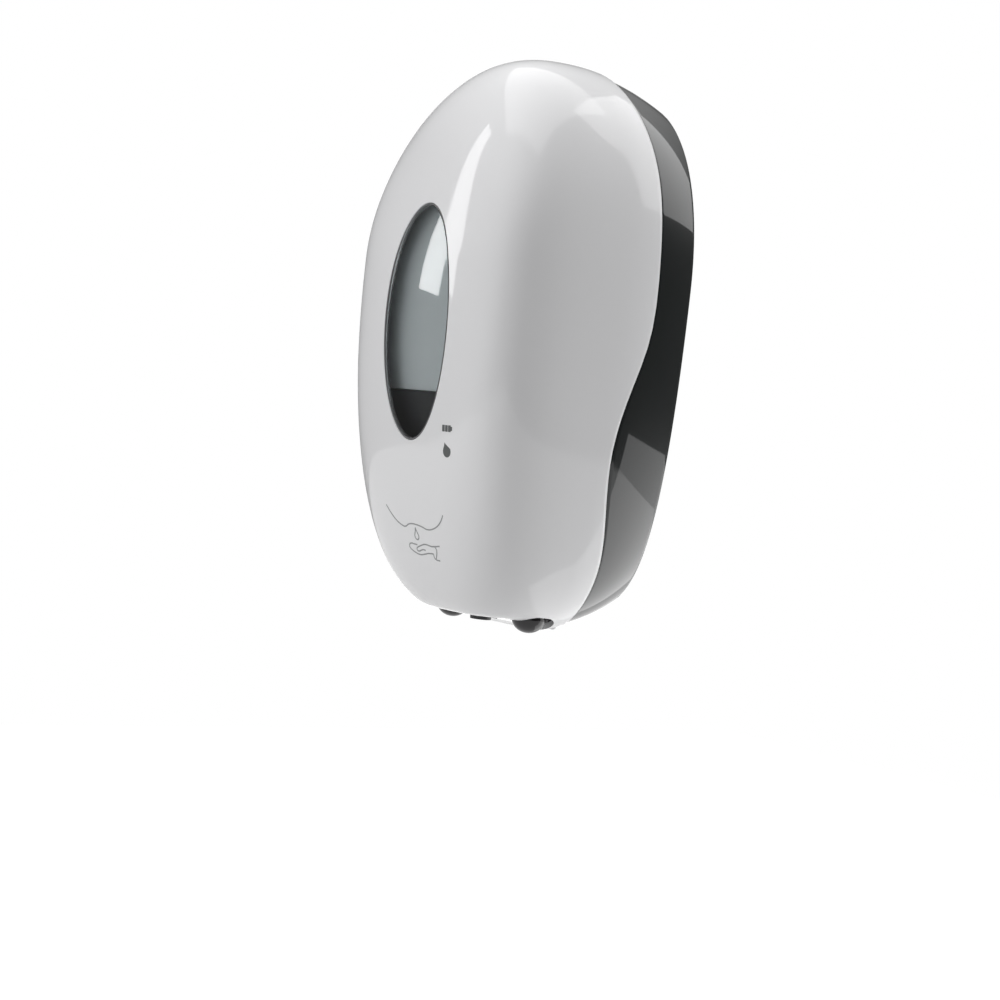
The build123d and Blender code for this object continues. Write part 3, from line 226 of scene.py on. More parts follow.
def ring_solid(name, rings, first_pole=None, last_pole=None):
    """Closed body of rings, ended by poles, or joined end to start where there are none."""
    count = len(rings[0])
    vertices = numpy.concatenate(rings)
    faces = []
    rows = len(rings) if first_pole is None else len(rings) - 1
    for row in range(rows):
        low, high = row * count, (row + 1) % len(rings) * count
        for i in range(count):
            j = (i + 1) % count
            faces.append((low + i, low + j, high + j, high + i))
    if first_pole is not None:
        vertices = numpy.concatenate((vertices, [first_pole, last_pole]))
        start, end = len(vertices) - 2, len(vertices) - 1
        last = (len(rings) - 1) * count
        for i in range(count):
            j = (i + 1) % count
            faces.append((start, j, i))
            faces.append((end, last + i, last + j))
    item = new_object(name, vertices, faces)
    face_outwards(item)
    return item


weld_distance = 2e-6


def face_outwards(item):
    mesh = bmesh.new()
    mesh.from_mesh(item.data)
    bmesh.ops.recalc_face_normals(mesh, faces=mesh.faces)
    if mesh.calc_volume(signed=True) < 0:
        bmesh.ops.reverse_faces(mesh, faces=mesh.faces)
    mesh.to_mesh(item.data)
    mesh.free()


def weld(item):
    """Close the tiny faces and edges that a cut leaves, which would upset the next one."""
    mesh = bmesh.new()
    mesh.from_mesh(item.data)
    bmesh.ops.remove_doubles(mesh, verts=mesh.verts[:], dist=weld_distance)
    bmesh.ops.dissolve_degenerate(mesh, edges=mesh.edges[:], dist=weld_distance)
    bmesh.ops.holes_fill(mesh, edges=[edge for edge in mesh.edges if edge.is_boundary], sides=0)
    mesh.to_mesh(item.data)
    mesh.free()


def apply_modifiers(item):
    graph = bpy.context.evaluated_depsgraph_get()
    mesh = bpy.data.meshes.new_from_object(item.evaluated_get(graph))
    item.modifiers.clear()
    item.data = mesh


def boolean(item, tool, operation="DIFFERENCE"):
    """Cut, join or keep the common part with a tool body, which is used up."""
    modifier = item.modifiers.new("shape", "BOOLEAN")
    modifier.operation = operation
    modifier.object = tool
    modifier.solver = "EXACT"
    apply_modifiers(item)
    bpy.data.objects.remove(tool)
    weld(item)


def smooth(item, angle=35):
    for polygon in item.data.polygons:
        polygon.use_smooth = True
    item.data.set_sharp_from_angle(angle=math.radians(angle))


def prism(name, outline, axis, low, high):
    """Body of an outline swept along a row axis. The outline is in the other two axes, in X, Y, Z order."""
    count = len(outline)
    others = [i for i in range(3) if i != axis]
    vertices = []
    for level in (low, high):
        for point in outline:
            vertex = [0.0, 0.0, 0.0]
            vertex[axis] = level
            vertex[others[0]], vertex[others[1]] = point
            vertices.append(vertex)
    faces = [tuple(range(count)), tuple(range(2 * count - 1, count - 1, -1))]
    faces += [(i, (i + 1) % count, count + (i + 1) % count, count + i) for i in range(count)]
    item = new_object(name, vertices, faces)
    face_outwards(item)
    return item


def circle(centre, radius, count=64, start=0.0, turn=360.0):
    closed = turn == 360.0
    steps = count if closed else count + 1
    angles = [math.radians(start + turn * i / count) for i in range(steps)]
    return [(centre[0] + radius * math.cos(a), centre[1] + radius * math.sin(a)) for a in angles]


def ellipse(centre, half_x, half_z, count=192):
    angles = [2 * math.pi * i / count for i in range(count)]
    return [(centre[0] + half_x * math.cos(a), centre[1] + half_z * math.sin(a)) for a in angles]


# Front cover: a closed skin from the seam's rounded edge to the front, inside and outside
edge_round = 0.5
straight_rings = 26
crown_rings = 56


def rounded_edge(depth, outer_inset, inner_inset, forward):
    """Rings round the free edge of a wall, from its outer to its inner face."""
    rings = []
    for back, drop in ((1.0, 0.0), (0.3, 0.3), (0.0, 1.0)):
        rings.append(ring(depth + forward * edge_round * back, outer_inset + edge_round * drop))
    for back, drop in ((0.0, 1.0), (0.3, 0.3), (1.0, 0.0)):
        rings.append(ring(depth + forward * edge_round * back, inner_inset - edge_round * drop))
    return rings


def front_pole(rings):
    return numpy.array((0.0, rings[-1][:, 1].min(), 0.0))


cover_edge = seam_ring_depth(seam_half_gap, 0)
outer_rings = shell_rings(cover_edge + edge_round, 0, straight_rings, crown_rings)
inner_rings = shell_rings(cover_edge + edge_round, cover_wall, straight_rings, crown_rings)
edge_rings = rounded_edge(cover_edge, 0, cover_wall, 1)
cover = ring_solid(
    "cover_shell",
    outer_rings[::-1] + edge_rings[1:-1] + inner_rings,
    front_pole(outer_rings),
    front_pole(inner_rings),
)

# A copy of the skin before it is cut tells how deep the surface lies under any point of the front
form_tree = BVHTree.FromPolygons(
    [vertex.co.copy() for vertex in cover.data.vertices],
    [tuple(polygon.vertices) for polygon in cover.data.polygons],
)


def on_front(x, z, sink=0.0):
    """Point of the cover's outer face in front of x and z, sunk along its normal."""
    start = Vector((x * MM, -2 * overall_depth * MM, z * MM))
    point, normal = form_tree.ray_cast(start, Vector((0, 1, 0)))[:2]
    if normal.y > 0:
        normal = -normal
    return (point - normal * sink * MM) / MM


# Sizes of what the cover makes room for, as in the solids
hinge = (-36.5, -161.8)
tongue_half_width = 23.7
knuckle_start = 24.3
knuckle_length = 4.0
knuckle_radius = 3.2
pin_radius = 1.3
tongue_clearance = 9.0
sensor_x = 30.15
sensor_y = -53.0
sensor_slot_radius = 8.9
sensor_slot = 4.0
nozzle_y = -58.0
nozzle_opening = 8.0
catch_bottom = 94.3
window_cut_end = -60


def slot_outline(x):
    front_end = circle((x, sensor_y), sensor_slot_radius, 40, 180, 180)
    back_end = circle((x, sensor_y + sensor_slot), sensor_slot_radius, 40, 0, 180)
    return front_end + back_end


window_outline = ellipse((0, window_level), window_half_width, window_half_height)
window_cut = prism("window_cut", window_outline, 1, -2 * overall_depth, window_cut_end)
boolean(cover, window_cut)
for side in (-1, 1):
    boolean(cover, prism("sensor_cut", slot_outline(side * sensor_x), 2, -180, -135))
boolean(cover, prism("nozzle_cut", circle((0, nozzle_y), nozzle_opening), 2, -180, -140))
boolean(cover, prism("tongue_cut", circle(hinge, tongue_clearance, 96), 0, -knuckle_start, knuckle_start))
for side in (-1, 1):
    ends = sorted((side * knuckle_start, side * (knuckle_start + knuckle_length)))
    knuckle = prism("knuckle", circle(hinge, knuckle_radius, 48), 0, *ends)
    boolean(cover, knuckle, "UNION")
    boolean(cover, prism("pin_hole", circle(hinge, pin_radius, 24), 0, ends[0] - 1, ends[1] + 1))
catch = prism("catch", [(-5, -46.5), (5, -46.5), (5, -44), (-5, -44)], 2, catch_bottom, 101.2)
boolean(cover, catch, "UNION")
cover.name = "cover_shell"
smooth(cover)
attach(cover, "front_cover")
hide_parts("front_cover")


# Window: a trim ring with an outer groove and a rounded bead, and a slightly domed clear panel
def ellipse_rings(name, profile, count=192):
    """Closed ring round the window from a profile of margins inwards and sinks below the surface."""
    rings = []
    for margin, sink in profile:
        outline = ellipse((0, window_level), window_half_width - margin, window_half_height - margin, count)
        rings.append(numpy.array([on_front(x, z, sink) for x, z in outline]))
    return ring_solid(name, rings)


trim_profile = (
    (0.02, 2.4),
    (0.02, 0.6),
    (0.34, 0.6),
    (0.38, 0.02),
    (0.46, -0.08),
    (0.62, -0.12),
    (0.78, -0.08),
    (0.88, 0.04),
    (1.1, 0.4),
    (1.15, 2.4),
)
trim = ellipse_rings("window_ring", trim_profile)
smooth(trim, 50)
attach(trim, "front_cover")
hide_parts("window_trim")

panel_sink = -0.05
panel_bow = 0.0009
panel_scales = (1, 1e2, 1e4, 1e6, 1e8, 1e3, 1e5, 1e6)
panel_thickness = 1.4
panel_margin = 1.15


def panel_terms(x, z):
    """Terms of an even surface, each brought to a like size."""
    return numpy.array((1, z, z**2, z**3, z**4, x**2, x**2 * z, x**4)) / numpy.array(panel_scales)


def panel_form():
    """Even surface through points of the cover's front in the window, as factors of its terms."""
    terms, depths = [], []
    for share in (0.2, 0.4, 0.6, 0.8, 1.0):
        for x, z in ellipse((0, 0), window_half_width * share, window_half_height * share, 48):
            terms.append(panel_terms(x, z))
            depths.append(on_front(x, window_level + z)[1])
    return numpy.linalg.lstsq(numpy.array(terms), numpy.array(depths), rcond=None)[0]


panel_factors = panel_form()


def panel_point(share, x, z, sink):
    x, z = x * share, (z - window_level) * share
    return numpy.array((x, panel_terms(x, z) @ panel_factors + panel_bow * x * x + sink, window_level + z))


def window_panel(name, rows=14, count=192):
    rings = []
    half_x = window_half_width - panel_margin
    half_z = window_half_height - panel_margin
    outline = ellipse((0, window_level), half_x, half_z, count)
    for sink, order in ((panel_sink, 1), (panel_sink + panel_thickness, -1)):
        side = []
        for row in range(1, rows + 1):
            share = row / rows
            side.append(numpy.array([panel_point(share, x, z, sink) for x, z in outline]))
        rings += side if order == 1 else side[::-1]
    front_centre = panel_point(0, 0, window_level, panel_sink)
    back_centre = panel_point(0, 0, window_level, panel_sink + panel_thickness)
    return ring_solid(name, rings, front_centre, back_centre)


panel = window_panel("window_panel")
smooth(panel, 50)
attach(panel, "front_cover")
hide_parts("window_lens")


# Marks on the cover: two icons let in and a line drawing, each a thin printed layer on the surface
print_height = 0.05
print_sink = 0.25


def patch(name, outline, rows=5):
    """Printed area of a convex outline, star-shaped about its middle, that follows the cover."""
    middle = (sum(p[0] for p in outline) / len(outline), sum(p[1] for p in outline) / len(outline))
    rings = []
    for sink, order in ((-print_height, 1), (print_sink, -1)):
        side = []
        for row in range(1, rows + 1):
            share = row / rows
            points = [
                (middle[0] + (x - middle[0]) * share, middle[1] + (z - middle[1]) * share) for x, z in outline
            ]
            side.append(numpy.array([on_front(x, z, sink) for x, z in points]))
        rings += side[::order]
    return ring_solid(name, rings, on_front(*middle, -print_height), on_front(*middle, print_sink))


def line(name, points, width, close=False):
    """Printed line through points of the front, with a section that is flat on the surface."""
    count = len(points)
    rings = []
    for i, (x, z) in enumerate(points):
        before = points[i - 1] if i or close else points[0]
        after = points[(i + 1) % count] if i + 1 < count or close else points[-1]
        along = Vector((after[0] - before[0], after[1] - before[1])).normalized()
        across = Vector((-along.y, along.x)) * width / 2
        section = []
        for sink in (-print_height, print_sink):
            for side in (-1, 1):
                sign = side if sink < 0 else -side
                section.append(on_front(x + sign * across.x, z + sign * across.y, sink))
        rings.append(section)
    vertices = [point for section in rings for point in section]
    faces = []
    spans = count if close else count - 1
    for i in range(spans):
        low, high = 4 * i, 4 * ((i + 1) % count)
        for k in range(4):
            faces.append((low + k, low + (k + 1) % 4, high + (k + 1) % 4, high + k))
    if not close:
        faces += [(0, 1, 2, 3), tuple(4 * (count - 1) + k for k in (3, 2, 1, 0))]
    item = new_object(name, vertices, faces)
    face_outwards(item)
    return item


def curve_points(points, steps=8, close=False):
    """Smooth line through points."""
    count = len(points)
    spans = count if close else count - 1
    found = []
    for i in range(spans):
        a = points[i - 1] if i or close else points[0]
        b, c = points[i], points[(i + 1) % count]
        d = points[(i + 2) % count] if i + 2 < count or close else points[-1]
        for k in range(steps):
            t = k / steps
            found.append(tuple(
                0.5 * (
                    2 * q + (r - p) * t + (2 * p - 5 * q + 4 * r - s) * t**2
                    + (3 * q - p - 3 * r + s) * t**3
                )
                for p, q, r, s in zip(a, b, c, d)
            ))
    if not close:
        found.append(points[-1])
    return found


def rounded_box(centre, width, height, radius, steps=6):
    points = []
    for sx, sz, start in ((1, 1, 0), (-1, 1, 90), (-1, -1, 180), (1, -1, 270)):
        corner = (centre[0] + sx * (width / 2 - radius), centre[1] + sz * (height / 2 - radius))
        points += circle(corner, radius, steps, start, 90)
    return points


battery_place = (28.2, -76.3)
battery_size = (6.2, 3.0)
battery_gap = 0.3
drop_place = (28.5, -86.6)
drop_radius = 2.7
drop_tip = 3.9
drop_lean = -1.7
battery_tip_offset = 0.45
battery_tip_size = (0.9, 1.9)
mark_radius = 0.25
falling_place = (0.2, -127.4)
falling_radius = 1.6
falling_tip = 3.8
falling_lean = -0.3


def drop_outline(centre, radius, tip, lean=0.0):
    """Pointed drop: a round belly and two hollow sides up to its tip."""
    belly = circle(centre, radius, 28, 150, 240)
    right = belly[-1]
    top = (centre[0] + lean, centre[1] + tip)
    left = belly[0]
    right_side = [(right[0] + (top[0] - right[0]) * t + 0.25 * math.sin(math.pi * t) * -0.6,
                   right[1] + (top[1] - right[1]) * t) for t in (0.25, 0.5, 0.75)]
    left_side = [(top[0] + (left[0] - top[0]) * t + 0.25 * math.sin(math.pi * t) * 0.6,
                  top[1] + (left[1] - top[1]) * t) for t in (0.25, 0.5, 0.75)]
    return belly + right_side + [top] + left_side


bar_step = (battery_size[0] + battery_gap) / 3
battery_bars = []
for i in range(3):
    bar_place = (battery_place[0] + (i - 1) * bar_step, battery_place[1])
    bar = rounded_box(bar_place, bar_step - battery_gap, battery_size[1], mark_radius)
    battery_bars.append(patch("battery_mark_%d" % (i + 1), bar))
tip_place = (battery_place[0] + battery_size[0] / 2 + battery_tip_offset, battery_place[1])
battery_tip = patch("battery_tip", rounded_box(tip_place, *battery_tip_size, mark_radius), 2)
drop_mark = patch("drop_mark", drop_outline(drop_place, drop_radius, drop_tip, drop_lean))
for item in battery_bars + [battery_tip, drop_mark]:
    smooth(item, 50)
    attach(item, "front_cover")
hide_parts("battery_indicator")
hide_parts("gel_indicator")

# The hand is drawn on a slanted grid of its own, counted to the right and down from its upper left corner
hand_corner = (-9.7, -128.3)
hand_right = (0.378, 0.039)
hand_down = (-0.065, -0.225)


def hand_points(*steps):
    return [tuple(c + u * r + v * d for c, r, d in zip(hand_corner, hand_right, hand_down)) for u, v in steps]


drawing = {
    "underside": [
        (-22.7, -114.9), (-19.2, -118.4), (-14.7, -121.7), (-10.2, -123.5), (-7.8, -123.6), (-5.2, -122.4),
        (-2.1, -121.9), (1.8, -122.1), (5.8, -122.7), (9.3, -123.5), (13.3, -123.1), (17.6, -121.4),
        (20.8, -118.9), (23.0, -115.8),
    ],
    "thumb": hand_points(
        (75, 22), (69, 22.5), (64, 22.5), (58, 22.5), (50, 19.5), (42.5, 18), (36, 20), (29, 23), (26, 26),
        (27, 30), (31, 32), (36, 30), (40, 29), (45, 30.5),
    ),
    "fingers": hand_points(
        (27, 18.5), (21, 17), (15, 15), (11, 16), (9.5, 20), (10.5, 24), (14, 28), (19, 32), (24, 35.5),
        (29, 38), (36, 39.5), (43, 38.5), (52, 37), (62, 38),
    ),
    "cuff_front": hand_points((64, 22.5), (67.5, 27), (69, 33), (68.5, 41), (67, 49)),
    "cuff_back": hand_points((62, 38), (62.5, 42), (64, 46.5), (67, 50), (71, 51.5), (75, 52)),
}
line_width = 0.6
for name, points in drawing.items():
    mark = line("drawn_" + name, curve_points(points, 6), line_width)
    smooth(mark, 50)
    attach(mark, "front_cover")
falling_outline = drop_outline(falling_place, falling_radius, falling_tip, falling_lean)
falling_drop = line("drawn_drop", curve_points(falling_outline, 3, True), line_width, True)
smooth(falling_drop, 50)
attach(falling_drop, "front_cover")


# Rear case: the skin on the wall plate, with the rim lip, the hinge tongue, posts, rails and holes
post_radius = 4.5
post_end = 36.7
post_places = ((46.9, -79.24), (-46.9, -79.24), (30.49, -139.1), (-30.49, -139.1))
post_bore = 1.5
post_recess_radius = 2.9
post_recess = 24.0
wall_holes = ((38.0, 47.5), (-38.0, 47.5), (38.0, -47.5), (-38.0, -47.5))
wall_hole_radius = 2.5
wall_pad_radius = 5.5
wall_pad_end = 4.4
tab_radius = 4.2
tab_end = 6.0
tab_levels = (42.8, -75.6)
tab_bore = 1.0
lip_outer_inset = 3.1
lip_inner_inset = 4.6
lip_back = 4.0
lip_front = 3.0
lip_floor = -142.0
tongue_radius = 8.5
lug_radius = 3.6
lug_width = 4.0
relief_radius = 6.1
relief_end = 38.0
back_round = 0.6
rail_start = 7.7
rail_end = 11.5
rail_depth = 19.5
rail_bottom = 60
rail_top = 86
rail_slot_low = (-9.3, -17.3, 50)
rail_slot_high = (9.3, -13.7, 92)
shelf_half_width = 6
shelf_depth = 20
shelf_bottom = 53
shelf_top = 55
key_slot_low = (-5, -17.2, 90.5)
key_slot_high = (5, -13.8, 120)


def inner_and_outer(start, end, outer_inset, inner_inset, rows):
    """Closed band of wall between two depths, which may differ round the outline."""
    rings = [ring(start + (end - start) * i / rows, outer_inset) for i in range(rows + 1)]
    return rings + [ring(end + (start - end) * i / rows, inner_inset) for i in range(rows + 1)]


def box_body(name, low, high):
    corners = [(low[0], low[1]), (high[0], low[1]), (high[0], high[1]), (low[0], high[1])]
    return prism(name, corners, 2, low[2], high[2])


def rod(name, x, z, radius, near, far, count=48):
    """Cylinder square to the wall between two depths."""
    return prism(name, circle((x, z), radius, count), 1, -far, -near)


def underside(x, depth, inset):
    """Height of the egg's lower outline at x."""
    points = ring(depth, inset)
    low = points[points[:, 2] < 0]
    low = low[numpy.argsort(low[:, 0])]
    return float(numpy.interp(x, low[:, 0], low[:, 2]))


case_edge = seam_ring_depth(-seam_half_gap, case_inset)
inner_inset_case = case_inset + case_wall
case_rows = 20
flat_back = back_round * numpy.ones(around)
outer_span = case_edge - edge_round - flat_back
outer_part = [ring(flat_back + outer_span * i / case_rows, case_inset) for i in range(case_rows)]
inner_floor = case_wall + back_round
inner_part = [
    ring(case_edge - edge_round + (inner_floor - case_edge + edge_round) * i / case_rows, inner_inset_case)
    for i in range(1, case_rows + 1)
]
case_rings = [
    ring(0, case_inset + 3 * back_round),
    ring(0, case_inset + back_round),
    ring(0.3 * back_round, case_inset + 0.3 * back_round),
    *outer_part,
    *rounded_edge(case_edge, case_inset, inner_inset_case, -1),
    *inner_part,
    ring(case_wall, inner_inset_case + back_round),
    ring(case_wall, inner_inset_case + 3 * back_round),
]
case = ring_solid("case_shell", case_rings, numpy.zeros(3), numpy.array((0.0, -case_wall, 0.0)))

lip_middle = seam_ring_depth(0, lip_outer_inset)
lip = ring_solid(
    "lip", inner_and_outer(lip_middle - lip_back, lip_middle + lip_front, lip_outer_inset, lip_inner_inset, 5)
)
boolean(lip, box_body("lip_cut", (-70, -80, -180), (70, 0, lip_floor)))
tongue = ring_solid("tongue", inner_and_outer(15.0, 45.0, case_inset, inner_inset_case, 24))
tongue_outline = circle(hinge, tongue_radius, 96)
tongue_form = prism("tongue_form", tongue_outline, 0, -tongue_half_width, tongue_half_width)
boolean(tongue, tongue_form, "INTERSECT")
boolean(case, tongue, "UNION")
boolean(case, lip, "UNION")
for side in (-1, 1):
    ends = sorted((side * (tongue_half_width - lug_width), side * tongue_half_width))
    foot = underside(ends[0] if side > 0 else ends[1], -hinge[0], case_inset + case_wall / 2)
    lug_outline = circle(hinge, lug_radius, 24, 0, 180)
    lug_outline += [(hinge[0] - lug_radius, foot), (hinge[0] + lug_radius, foot)]
    boolean(case, prism("lug", lug_outline, 0, *ends), "UNION")
for x, z in post_places:
    boolean(case, rod("post", x, z, post_radius, case_wall / 2, post_end), "UNION")
for x, z in wall_holes:
    boolean(case, rod("pad", x, z, wall_pad_radius, case_wall / 2, wall_pad_end), "UNION")
for z in tab_levels:
    boolean(case, rod("tab_post", 0, z, tab_radius, case_wall / 2, tab_end), "UNION")
for side in (-1, 1):
    near, far = sorted((side * rail_start, side * rail_end))
    rail = box_body("rail", (near, -rail_depth, rail_bottom), (far, -case_wall / 2, rail_top))
    boolean(case, rail, "UNION")
boolean(case, box_body("rail_slot", rail_slot_low, rail_slot_high))
shelf_low = (-shelf_half_width, -shelf_depth, shelf_bottom)
shelf = box_body("shelf", shelf_low, (shelf_half_width, -case_wall / 2, shelf_top))
boolean(case, shelf, "UNION")
boolean(case, box_body("key_slot", key_slot_low, key_slot_high))
for x, z in post_places:
    boolean(case, rod("bore", x, z, post_bore, -1, post_end + 1, 24))
    boolean(case, rod("recess", x, z, post_recess_radius, -1, post_recess, 32))
for x, z in wall_holes:
    boolean(case, rod("wall_hole", x, z, wall_hole_radius, -1, wall_pad_end + 1))
for z in tab_levels:
    boolean(case, rod("tab_bore", 0, z, tab_bore, case_wall / 2, tab_end + 1, 24))
for side in (-1, 1):
    ends = sorted((side * tongue_half_width, side * relief_end))
    boolean(case, prism("relief", circle(hinge, relief_radius, 64), 0, *ends))
    ends = sorted((side * (tongue_half_width - lug_width - 1), side * (tongue_half_width + 1)))
    boolean(case, prism("pin_hole", circle(hinge, pin_radius, 24), 0, *ends))
case.name = "case_shell"
smooth(case)
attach(case, "rear_case")
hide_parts("rear_case")


# Bottle: a translucent shell with rounded edges, a neck and a spout
bottle_rear = 38.5
bottle_floor = -59.7
bottle_top = 61.0
bottle_edge = 3.0
neck_radius = 16.0
neck_top = 71.0
spout_radius = 7.0
spout_bore = 4.0
spout_end = -71.0


def cut_flat(item, point, normal):
    """Take away what lies on the normal's side of a plane and close the cut."""
    mesh = bmesh.new()
    mesh.from_mesh(item.data)
    geometry = mesh.verts[:] + mesh.edges[:] + mesh.faces[:]
    cut = bmesh.ops.bisect_plane(
        mesh, geom=geometry, dist=1e-7, plane_co=Vector(point) * MM, plane_no=Vector(normal), clear_outer=True
    )
    edges = [part for part in cut["geom_cut"] if isinstance(part, bmesh.types.BMEdge)]
    bmesh.ops.edgeloop_fill(mesh, edges=edges)
    mesh.to_mesh(item.data)
    mesh.free()


def egg_block(name, inset, rear, low, high):
    """Egg form cut flat behind, below and above."""
    start = 20.0 * numpy.ones(around)
    rings = shell_rings(start, inset, straight_rings, crown_rings // 2)
    item = ring_solid(name, rings, numpy.array((0.0, -20.0, 0.0)), front_pole(rings))
    cut_flat(item, (0, -rear, 0), (0, 1, 0))
    cut_flat(item, (0, 0, low), (0, 0, -1))
    cut_flat(item, (0, 0, high), (0, 0, 1))
    return item


def round_edges(item, width, segments=4):
    modifier = item.modifiers.new("edges", "BEVEL")
    modifier.width = width * MM
    modifier.segments = segments
    modifier.limit_method = "ANGLE"
    modifier.angle_limit = math.radians(50)
    modifier.use_clamp_overlap = True
    apply_modifiers(item)


bottle = egg_block("bottle_shell", inner_inset, bottle_rear, bottle_floor, bottle_top)
round_edges(bottle, bottle_edge)
boolean(bottle, prism("neck", circle((0, nozzle_y), neck_radius), 2, bottle_top - 3, neck_top), "UNION")
boolean(bottle, prism("spout", circle((0, nozzle_y), spout_radius), 2, spout_end, bottle_floor + 3), "UNION")
hollow = egg_block(
    "hollow", inner_inset + bottle_wall, bottle_rear + bottle_wall,
    bottle_floor + bottle_wall, bottle_top - bottle_wall,
)
boolean(bottle, hollow)
neck_circle = circle((0, nozzle_y), neck_radius - bottle_wall)
boolean(bottle, prism("neck_bore", neck_circle, 2, bottle_top - 4, neck_top + 1))
boolean(bottle, prism("spout_bore", circle((0, nozzle_y), spout_bore), 2, spout_end - 1, bottle_floor + 4))
bottle.name = "bottle_shell"
smooth(bottle)
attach(bottle, "bottle")
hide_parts("bottle")


# Materials: moulded plastics, metal, rubber and the board, each with its own grain
def principled(name, colour, roughness, **sockets):
    """Material with a shader whose other sockets are set by name, and its node tree."""
    material = bpy.data.materials.new(name)
    material.use_nodes = True
    nodes = material.node_tree.nodes
    shader = nodes["Principled BSDF"]
    shader.inputs["Base Color"].default_value = (*colour, 1)
    shader.inputs["Roughness"].default_value = roughness
    for socket, value in sockets.items():
        shader.inputs[socket.replace("_", " ")].default_value = value
    return material, shader


def grained(name, colour, roughness, grain=900.0, depth=0.02, mottle=0.03, spread=0.04, **sockets):
    """Moulded surface: a fine bump, and a slight drift of colour and of gloss over a few centimetres."""
    material, shader = principled(name, colour, roughness, **sockets)
    tree = material.node_tree
    coordinates = tree.nodes.new("ShaderNodeTexCoord")
    fine = tree.nodes.new("ShaderNodeTexNoise")
    fine.inputs["Scale"].default_value = grain
    fine.inputs["Detail"].default_value = 3
    broad = tree.nodes.new("ShaderNodeTexNoise")
    broad.inputs["Scale"].default_value = 22
    broad.inputs["Detail"].default_value = 4
    bump = tree.nodes.new("ShaderNodeBump")
    bump.inputs["Strength"].default_value = depth
    bump.inputs["Distance"].default_value = 0.0002
    tint = tree.nodes.new("ShaderNodeMix")
    tint.data_type = "RGBA"
    tint.inputs["A"].default_value = (*[c * (1 - mottle) for c in colour], 1)
    tint.inputs["B"].default_value = (*[min(1, c * (1 + mottle)) for c in colour], 1)
    gloss = tree.nodes.new("ShaderNodeMapRange")
    gloss.inputs["To Min"].default_value = max(0.0, roughness - spread)
    gloss.inputs["To Max"].default_value = roughness + spread
    links = tree.links
    links.new(coordinates.outputs["Object"], fine.inputs["Vector"])
    links.new(coordinates.outputs["Object"], broad.inputs["Vector"])
    links.new(fine.outputs["Fac"], bump.inputs["Height"])
    links.new(broad.outputs["Fac"], tint.inputs["Factor"])
    links.new(broad.outputs["Fac"], gloss.inputs["Value"])
    links.new(tint.outputs["Result"], shader.inputs["Base Color"])
    links.new(gloss.outputs["Result"], shader.inputs["Roughness"])
    links.new(bump.outputs["Normal"], shader.inputs["Normal"])
    return material


materials = {
    "white_shell": grained(
        "white_shell", (0.80, 0.80, 0.81), 0.34, depth=0.01, mottle=0.006, spread=0.02,
        Coat_Weight=0.8, Coat_Roughness=0.05, Specular_IOR_Level=0.2,
    ),
    "dark_trim": grained("dark_trim", (0.14, 0.14, 0.145), 0.2, depth=0.02),
    "indicator": grained("indicator", (0.10, 0.105, 0.105), 0.4, depth=0.03),
    "pale_print": grained("pale_print", (0.27, 0.28, 0.28), 0.4, depth=0.03),
    "dark_case": grained(
        "dark_case", (0.006, 0.008, 0.008), 0.3, depth=0.01, spread=0.02,
        Coat_Weight=1.0, Coat_Roughness=0.03, Specular_IOR_Level=0.15,
    ),
    "black_plastic": grained("black_plastic", (0.018, 0.018, 0.02), 0.38, depth=0.06),
    "white_plastic": grained("white_plastic", (0.68, 0.68, 0.66), 0.4, depth=0.05),
    "grey_plastic": grained("grey_plastic", (0.15, 0.16, 0.17), 0.45, depth=0.06),
    "smoked_lens": grained("smoked_lens", (0.012, 0.010, 0.012), 0.08, depth=0.005, spread=0.02),
    "rubber": grained("rubber", (0.04, 0.04, 0.04), 0.7, depth=0.1),
    "steel": grained("steel", (0.60, 0.60, 0.61), 0.3, grain=1500, depth=0.08, Metallic=1.0),
    "contact_metal": grained("contact_metal", (0.78, 0.70, 0.52), 0.28, depth=0.05, Metallic=1.0),
    "cell_wrapper": grained("cell_wrapper", (0.05, 0.055, 0.06), 0.25, depth=0.02, Coat_Weight=0.3),
    "circuit_board": grained("circuit_board", (0.02, 0.12, 0.05), 0.35, depth=0.05),
    "light_pipe": grained("light_pipe", (0.85, 0.87, 0.88), 0.1, depth=0.01, Transmission_Weight=0.9),
    "clear_window": grained(
        "clear_window", (0.93, 0.95, 0.95), 0.02, depth=0.002, spread=0.01, Transmission_Weight=1.0, IOR=1.46
    ),
    "bottle": grained("bottle", (0.86, 0.91, 0.93), 0.35, depth=0.02, mottle=0.02, Transmission_Weight=0.35),
}
dressed = {
    "white_shell": [cover],
    "dark_trim": [trim],
    "clear_window": [panel],
    "dark_case": [case],
    "bottle": [bottle],
}


def dress(item, material):
    item.data.materials.clear()
    item.data.materials.append(material)


for slot_name, items in dressed.items():
    for item in items:
        dress(item, materials[slot_name])
for item in bpy.context.scene.objects:
    if item.name.startswith(("battery_mark", "battery_tip", "drop_mark")):
        dress(item, materials["indicator"])
    elif item.name.startswith("drawn_"):
        dress(item, materials["pale_print"])
for part in frame["record"]["subparts"]:
    node = frame["nodes"][part["node"]]
    for holder in node.material_slots:
        holder.material = materials[part["material_slot"]]


# Camera at the photograph's angle
camera_azimuth = math.radians(52.5)
camera_elevation = math.radians(1.46)
camera_roll = math.radians(6.45)
camera_distance = 990.28
camera_aim = Vector((7.34, -60.0, -106.87))
focal_pixels = 2.11105 * camera_distance
picture_pixels = 1000.0
sensor_width = 36.0

